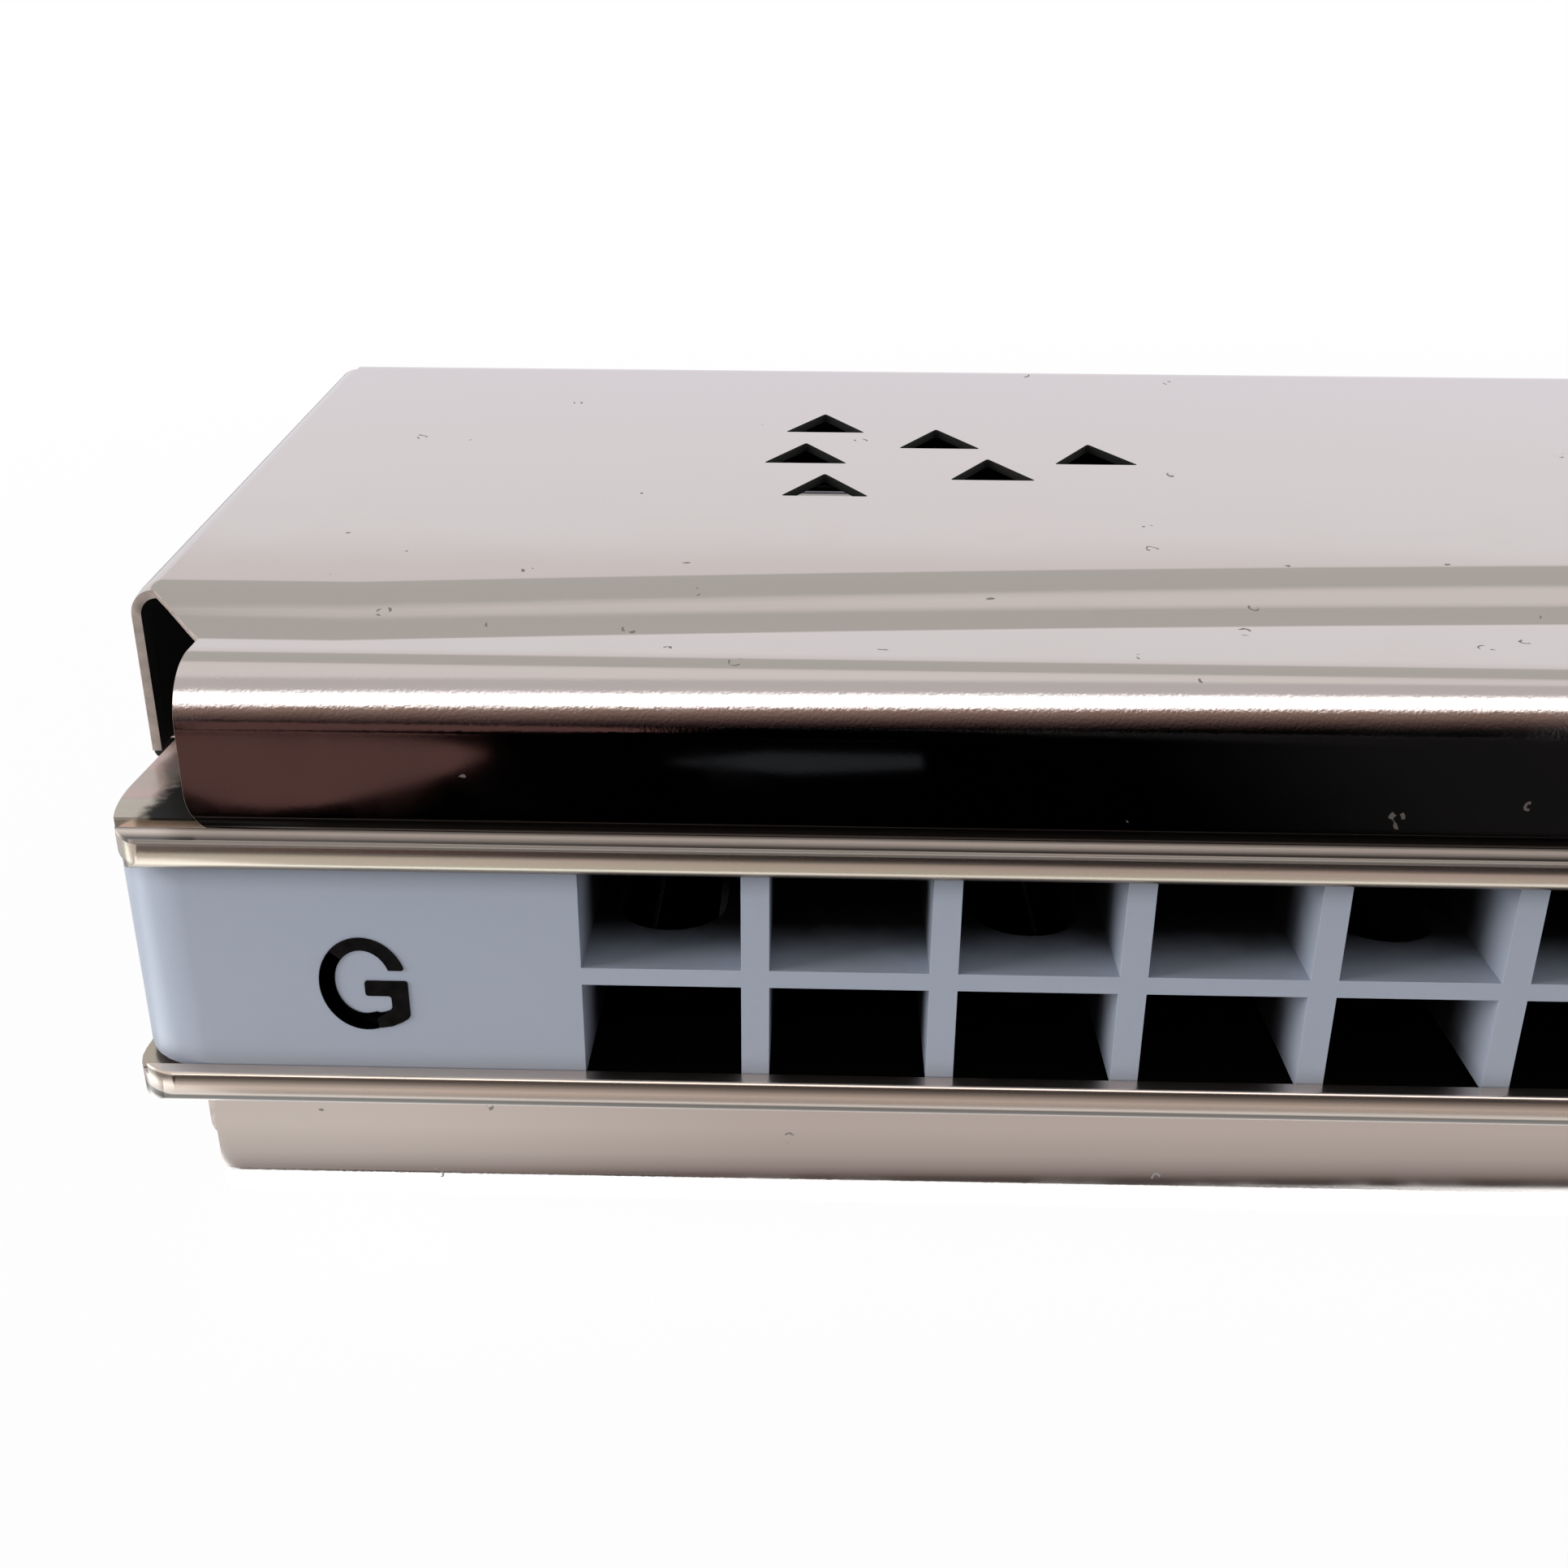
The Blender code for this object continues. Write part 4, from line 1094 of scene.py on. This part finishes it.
def dark_card_finish():
    """Black, which turns to a dark grey towards the right."""
    made, tree, shader, place = start_material("dark_card_tone")
    apart = add(tree, "ShaderNodeSeparateXYZ", inputs={"Vector": place})
    right = span(tree, apart.outputs["X"], -0.045, -0.02)
    colour = blend_colour(tree, right, (0.0, 0.0, 0.0, 1.0), (0.009, 0.009, 0.009, 1.0))
    give(tree, shader, Base_Color=(0.0, 0.0, 0.0, 1.0), Specular_IOR_Level=0.0, Emission_Color=colour,
         Emission_Strength=1.0)
    return made


def near_card_finish():
    """White under the instrument, a painted shadow line just ahead of it, and a warm grey of painted shade from there
    on.
    """
    made, tree, shader, place = start_material("near_card_tone")
    apart = add(tree, "ShaderNodeSeparateXYZ", inputs={"Vector": place})
    first, last = NEAR_LIGHT_AND_SHADE[0][0], NEAR_LIGHT_AND_SHADE[-1][0]
    level = MOUTH_Y + CAMERA_PLACE[0] * NEAR_TILT
    along = maths(tree, "MULTIPLY_ADD", apart.outputs["X"], NEAR_TILT, apart.outputs["Y"])
    way = add(tree, "ShaderNodeMapRange", inputs={
        "Value": along, "From Min": level - first * MM, "From Max": level - last * MM})
    most = max(value for ahead, tone in NEAR_LIGHT_AND_SHADE for value in tone)
    stops = []
    for ahead, tone in NEAR_LIGHT_AND_SHADE:
        stops.append(((ahead - first) / (last - first), tuple(value / most for value in tone)))
    left = span(tree, apart.outputs["X"], -0.065, -0.088)
    colour = blend_colour(tree, left, ramp(tree, way.outputs[0], stops), (1.22, 1.26, 1.27, 1.0), "MULTIPLY")
    give(tree, shader, Base_Color=(0.0, 0.0, 0.0, 1.0), Specular_IOR_Level=0.0, Emission_Color=colour,
         Emission_Strength=most)
    return made


# Outlines of the floor's cards, as X and the way ahead of the mouth in millimetres
NEAR_CARD = ((-800, -8), (700, -8), (700, 34), (-800, 34))
DARK_CARD = ((-120, 34), (700, 34), (1300, 1150), (-620, 1150), (-122, 60))
BROWN_CARD = (
    (-118, 63.6), (-112.5, 64.2), (-108.2, 64.4), (-102.2, 64.5), (-96.1, 63.6), (-92.3, 62.3), (-89.3, 60.2), (-91, 56.6),
    (-93.6, 53.3), (-96.6, 50.4), (-98.4, 49.3), (-101.4, 48.7), (-104.8, 49.4), (-107, 51),
    (-113, 55), (-118, 60))
BROWN_STRIP = ((-113, 66), (-210, 300), (-104, 300), (-81, 96), (-92, 82))
GREY_CARD = ((-77, 59), (-70, 61.5), (-59, 61), (-59, 58.5), (-68, 57))
WHITE_CORNER = (
    (-89.0, 5), (-89.9, 5.9), (-91.0, 7.4), (-92.4, 9.5), (-94.2, 12.5), (-95.5, 15), (-100, 15), (-100, 5))

# Tones of the near card, by the way ahead of the mouth in millimetres, and how far they slant: painted light and shade
# of the table, white, then a painted shadow line, then a shaded warm grey
NEAR_LIGHT_AND_SHADE = (
    (2.5, (1.75, 1.8, 1.8)),
    (5.35, (1.75, 1.8, 1.8)),
    (5.65, (0.05, 0.04, 0.035)),
    (5.95, (0.11, 0.09, 0.08)),
    (6.25, (0.29, 0.24, 0.22)),
    (6.6, (0.4, 0.35, 0.33)),
    (7.3, (0.53, 0.48, 0.44)),
    (9.0, (0.64, 0.58, 0.53)),
    (12.0, (0.62, 0.56, 0.52)),
)
NEAR_TILT = 0.02


def make_floor_cards():
    """Glowing cards that paint the table's light and shade, as the lips and beads mirror them: bright and warm near by,
    dark farther ahead.
    """
    make_card("near_floor_card", NEAR_CARD, 0.2 * MM, near_card_finish())
    make_card("dark_floor_card", DARK_CARD, 0.2 * MM, dark_card_finish())
    brown = glow("brown_card_tone", (0.108, 0.056, 0.05, 1.0))
    make_card("brown_floor_card", BROWN_CARD, 0.4 * MM, brown)
    make_card("brown_floor_strip", BROWN_STRIP, 0.4 * MM, brown)
    make_card("grey_floor_card", GREY_CARD, 0.4 * MM, glow("grey_card_tone", (0.02, 0.023, 0.026, 1.0)))
    make_card("white_floor_corner", WHITE_CORNER, 0.4 * MM, glow("white_corner_tone", (1.75, 1.8, 1.8, 1.0)))


def tent_finish():
    """Bands of light and dark along the tent, by the turn round its axis. It is plain beyond its middle part.

    The bands in front run slightly slanting, like softboxes that weren't set parallel to the instrument.
    """
    made, tree, shader, place = start_material("tent_bands")
    apart = add(tree, "ShaderNodeSeparateXYZ", inputs={"Vector": place})
    ahead = maths(tree, "MULTIPLY", apart.outputs["Y"], -1.0)
    turn = maths(tree, "ARCTAN2", apart.outputs["Z"], ahead)
    front = span(tree, turn, math.radians(115), math.radians(100))
    slant = maths(tree, "MULTIPLY", maths(tree, "MULTIPLY", apart.outputs["X"], -SLANT), front)
    turn = maths(tree, "DIVIDE", maths(tree, "ADD", turn, slant), math.pi)
    most = max(value for degrees, tone in TENT_STOPS for value in tone)
    stops = [(degrees / 180, tuple(value / most for value in tone)) for degrees, tone in TENT_STOPS]
    bands = ramp(tree, turn, stops)
    aside = span(tree, maths(tree, "ABSOLUTE", apart.outputs["X"]), TENT_HALF, TENT_HALF + 0.2)
    colour = blend_colour(tree, aside, bands, (0.9 / most, 0.9 / most, 0.9 / most, 1.0))
    give(tree, shader, Base_Color=(0.0, 0.0, 0.0, 1.0), Specular_IOR_Level=0.0, Emission_Color=colour,
         Emission_Strength=most)
    return made


def make_tent():
    """A half cylinder over the instrument, whose bands show only as reflections in its metal."""
    deselect()
    bpy.ops.mesh.primitive_cylinder_add(
        vertices=96, radius=TENT_RADIUS, depth=4.0, end_fill_type="NOTHING",
        rotation=(0, math.radians(90), 0), location=(0, 0, 0))
    tent = settled(bpy.context.object)
    tent.name = "reflection_tent"
    edit(tent, "SELECT")
    bpy.ops.mesh.bisect(plane_co=(0, 0, CAD_LOW.z - TENT_LEVEL), plane_no=(0, 0, 1), clear_inner=True)
    deselect()
    tent.location = (CAMERA_PLACE[0], MOUTH_Y, TENT_LEVEL)
    tent.data.materials.append(tent_finish())
    return reflection_only(tent)


def make_lamp(name, place, aim, size, power, colour):
    """A soft lamp, which lights the pieces and isn't mirrored in them."""
    deselect()
    bpy.ops.object.light_add(type="AREA", location=place)
    lamp = bpy.context.object
    lamp.name = name
    lamp.data.shape = "RECTANGLE"
    lamp.data.size = size[0]
    lamp.data.size_y = size[1]
    lamp.data.energy = power
    lamp.data.color = colour
    lamp.rotation_euler = (Vector(aim) - Vector(place)).to_track_quat("-Z", "Y").to_euler()
    lamp.visible_glossy = False
    return lamp


def make_world():
    """White for the camera and for reflections, softer for the light that it sheds."""
    world = bpy.data.worlds.new("studio_world")
    world.use_nodes = True
    tree = world.node_tree
    back = tree.nodes["Background"]
    path = add(tree, "ShaderNodeLightPath")
    seen = maths(tree, "MAXIMUM", path.outputs["Is Camera Ray"], path.outputs["Is Glossy Ray"])
    seen = maths(tree, "MAXIMUM", seen, path.outputs["Is Transmission Ray"])
    strength = add(tree, "ShaderNodeMapRange", inputs={"Value": seen, "To Min": 0.5, "To Max": 1.0})
    back.inputs["Color"].default_value = (1.0, 1.0, 1.0, 1.0)
    tree.links.new(strength.outputs[0], back.inputs["Strength"])
    bpy.context.scene.world = world


def floor_finish():
    """Pale floor, which the camera sees turn to the background's white away from the instrument."""
    made, tree, shader, place = start_material("pale_floor")
    give(tree, shader, Base_Color=(0.9, 0.9, 0.9, 1.0), Roughness=0.8, Specular_IOR_Level=0.2)
    length = add(tree, "ShaderNodeVectorMath", {"operation": "LENGTH"}, {0: place})
    away = span(tree, length.outputs["Value"], 0.08, 0.3)
    seen = add(tree, "ShaderNodeLightPath").outputs["Is Camera Ray"]
    share = maths(tree, "MULTIPLY", seen, maths(tree, "MULTIPLY_ADD", away, 0.04, 0.96))
    white = add(tree, "ShaderNodeEmission", inputs={"Color": (1.0, 1.0, 1.0, 1.0), "Strength": 1.0})
    mixed = add(tree, "ShaderNodeMixShader", inputs={0: share, 1: shader.outputs[0], 2: white.outputs[0]})
    tree.links.new(mixed.outputs[0], tree.nodes["Material Output"].inputs["Surface"])
    return made


def make_floor():
    deselect()
    bpy.ops.mesh.primitive_plane_add(size=FLOOR_REACH * 2, location=(0, 0, CAD_LOW.z - 0.02 * MM))
    floor = bpy.context.object
    floor.name = "floor"
    floor.data.materials.append(floor_finish())


def make_camera():
    """The photograph's camera: its axes from yaw, pitch and roll."""
    yaw, pitch, roll = (math.radians(value) for value in (CAMERA_YAW, CAMERA_PITCH, CAMERA_ROLL))
    forward = Vector((math.sin(yaw) * math.cos(pitch), math.cos(yaw) * math.cos(pitch), -math.sin(pitch)))
    level = Vector((math.cos(yaw), -math.sin(yaw), 0.0))
    down = forward.cross(level)
    right = math.cos(roll) * level + math.sin(roll) * down
    lower = math.cos(roll) * down - math.sin(roll) * level
    turn = Matrix((right, -lower, -forward)).transposed()
    bpy.ops.object.camera_add(location=CAMERA_PLACE)
    camera = bpy.context.object
    camera.name = "photo_camera"
    camera.rotation_euler = turn.to_euler()
    camera.data.sensor_width = SENSOR
    camera.data.lens = CAMERA_LENS
    camera.data.clip_start = 0.001
    camera.data.clip_end = 20.0
    bpy.context.scene.camera = camera


class HarmonicaFinish(bpy.types.PropertyGroup):
    """Sizes and colours of the finish."""

    cover_colour: bpy.props.FloatVectorProperty(
        name="Cover colour", description="Tone of the covers' bright plating",
        default=(0.67, 0.63, 0.62), min=0.0, max=1.0, subtype="COLOR")
    plate_colour: bpy.props.FloatVectorProperty(
        name="Plate colour", description="Tone of the reed plates' plating",
        default=(0.6, 0.5, 0.45), min=0.0, max=1.0, subtype="COLOR")
    comb_colour: bpy.props.FloatVectorProperty(
        name="Comb colour", description="Tone of the comb's plastic",
        default=(0.43, 0.47, 0.56), min=0.0, max=1.0, subtype="COLOR")
    cover_roughness: bpy.props.FloatProperty(
        name="Cover roughness", description="Roughness of the covers between their smudges",
        default=0.045, min=0.0, max=1.0, subtype="FACTOR")
    plate_roughness: bpy.props.FloatProperty(
        name="Plate roughness", description="Roughness of the reed plates between their streaks",
        default=0.2, min=0.0, max=1.0, subtype="FACTOR")
    cover_edge: bpy.props.FloatProperty(
        name="Cover edge", description="Rounding of the sheet's cut edges",
        default=0.11 * MM, min=0.0, unit="LENGTH", subtype="DISTANCE")
    plate_edge: bpy.props.FloatProperty(
        name="Plate edge", description="Rounding of the reed plates' edges",
        default=0.04 * MM, min=0.0, unit="LENGTH", subtype="DISTANCE")
    comb_edge: bpy.props.FloatProperty(
        name="Comb edge", description="Rounding of the moulded edges",
        default=0.04 * MM, min=0.0, unit="LENGTH", subtype="DISTANCE")


class HARMONICA_OT_covers(bpy.types.Operator):
    """Makes both covers"""

    bl_idname = "harmonica.covers"
    bl_label = "Covers"

    def execute(self, context):
        edge = context.scene.harmonica_finish.cover_edge
        for word, side, lip_short in (("upper", 1, UPPER_LIP_SHORT), ("lower", -1, LOWER_LIP_SHORT)):
            cover = make_cover(word + "_cover_shell", side, lip_short, edge)
            dress(cover, ("cover", "inside", "edge"), "cover_chrome", word + "_cover")
        return {"FINISHED"}


class HARMONICA_OT_plates(bpy.types.Operator):
    """Makes both reed plates"""

    bl_idname = "harmonica.plates"
    bl_label = "Reed plates"

    def execute(self, context):
        edge = context.scene.harmonica_finish.plate_edge
        for word, side, corner in (("upper", 1, UPPER_PLATE_CORNER), ("lower", -1, LOWER_PLATE_CORNER)):
            plate = make_plate(word, side, corner, edge)
            dress(plate, ("plate",), "plate_plating", word + "_reed_plate")
        return {"FINISHED"}


class HARMONICA_OT_comb(bpy.types.Operator):
    """Makes the comb and its key letter"""

    bl_idname = "harmonica.comb"
    bl_label = "Comb"

    def execute(self, context):
        comb = copied("comb", "comb_block")
        eased(comb, context.scene.harmonica_finish.comb_edge)
        dress(comb, ("comb",), "comb_plastic", "comb")
        dress(make_key_letter(), ("ink",), "comb_plastic")
        return {"FINISHED"}


class HARMONICA_OT_reeds(bpy.types.Operator):
    """Gives the reeds their brass"""

    bl_idname = "harmonica.reeds"
    bl_label = "Reeds"

    def execute(self, context):
        for name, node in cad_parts.items():
            if "_reed_" in name and not name.endswith("plate"):
                node.material_slots[0].material = finish_for("reed")
        return {"FINISHED"}


class HARMONICA_OT_bolts(bpy.types.Operator):
    """Makes the through bolts and their nuts"""

    bl_idname = "harmonica.bolts"
    bl_label = "Through bolts"

    def execute(self, context):
        for word in ("left", "right"):
            bolt = make_bolt(word)
            dress(bolt, ("steel",), "fastener_steel", "cover_bolt_" + word)
            nut = make_nut(word)
            dress(nut, ("steel",), "fastener_steel", "cover_nut_" + word)
        return {"FINISHED"}


class HARMONICA_OT_studio(bpy.types.Operator):
    """Makes the floor, the reflection tent, the cards, the lamp, the world and the camera"""

    bl_idname = "harmonica.studio"
    bl_label = "Studio"

    def execute(self, context):
        make_floor()
        make_tent()
        make_floor_cards()
        make_lamp("left_softbox", (-0.5, -0.12, 0.12), (-0.09, MOUTH_Y, 0.0), (0.2, 0.2), 1.3, (1.0, 1.0, 1.0))
        make_world()
        make_camera()
        context.scene.view_settings.view_transform = "Standard"
        return {"FINISHED"}


OPERATORS = (
    HARMONICA_OT_covers,
    HARMONICA_OT_plates,
    HARMONICA_OT_comb,
    HARMONICA_OT_reeds,
    HARMONICA_OT_bolts,
    HARMONICA_OT_studio,
)


class HARMONICA_PT_finish(bpy.types.Panel):
    """Lists the harmonica's piece groups"""

    bl_idname = "HARMONICA_PT_finish"
    bl_label = "Harmonica"
    bl_space_type = "VIEW_3D"
    bl_region_type = "UI"
    bl_category = "Harmonica"

    def draw(self, context):
        for name in HarmonicaFinish.__annotations__:
            self.layout.prop(context.scene.harmonica_finish, name)
        for operator in OPERATORS:
            self.layout.operator(operator.bl_idname)


CLASSES = (HarmonicaFinish, *OPERATORS, HARMONICA_PT_finish)


def register():
    for made in CLASSES:
        bpy.utils.register_class(made)
    bpy.types.Scene.harmonica_finish = bpy.props.PointerProperty(type=HarmonicaFinish)


def unregister():
    del bpy.types.Scene.harmonica_finish
    for made in reversed(CLASSES):
        bpy.utils.unregister_class(made)


def main():
    register()
    bpy.ops.harmonica.covers()
    bpy.ops.harmonica.plates()
    bpy.ops.harmonica.comb()
    bpy.ops.harmonica.reeds()
    bpy.ops.harmonica.bolts()
    bpy.ops.harmonica.studio()


if __name__ == "__main__":
    main()
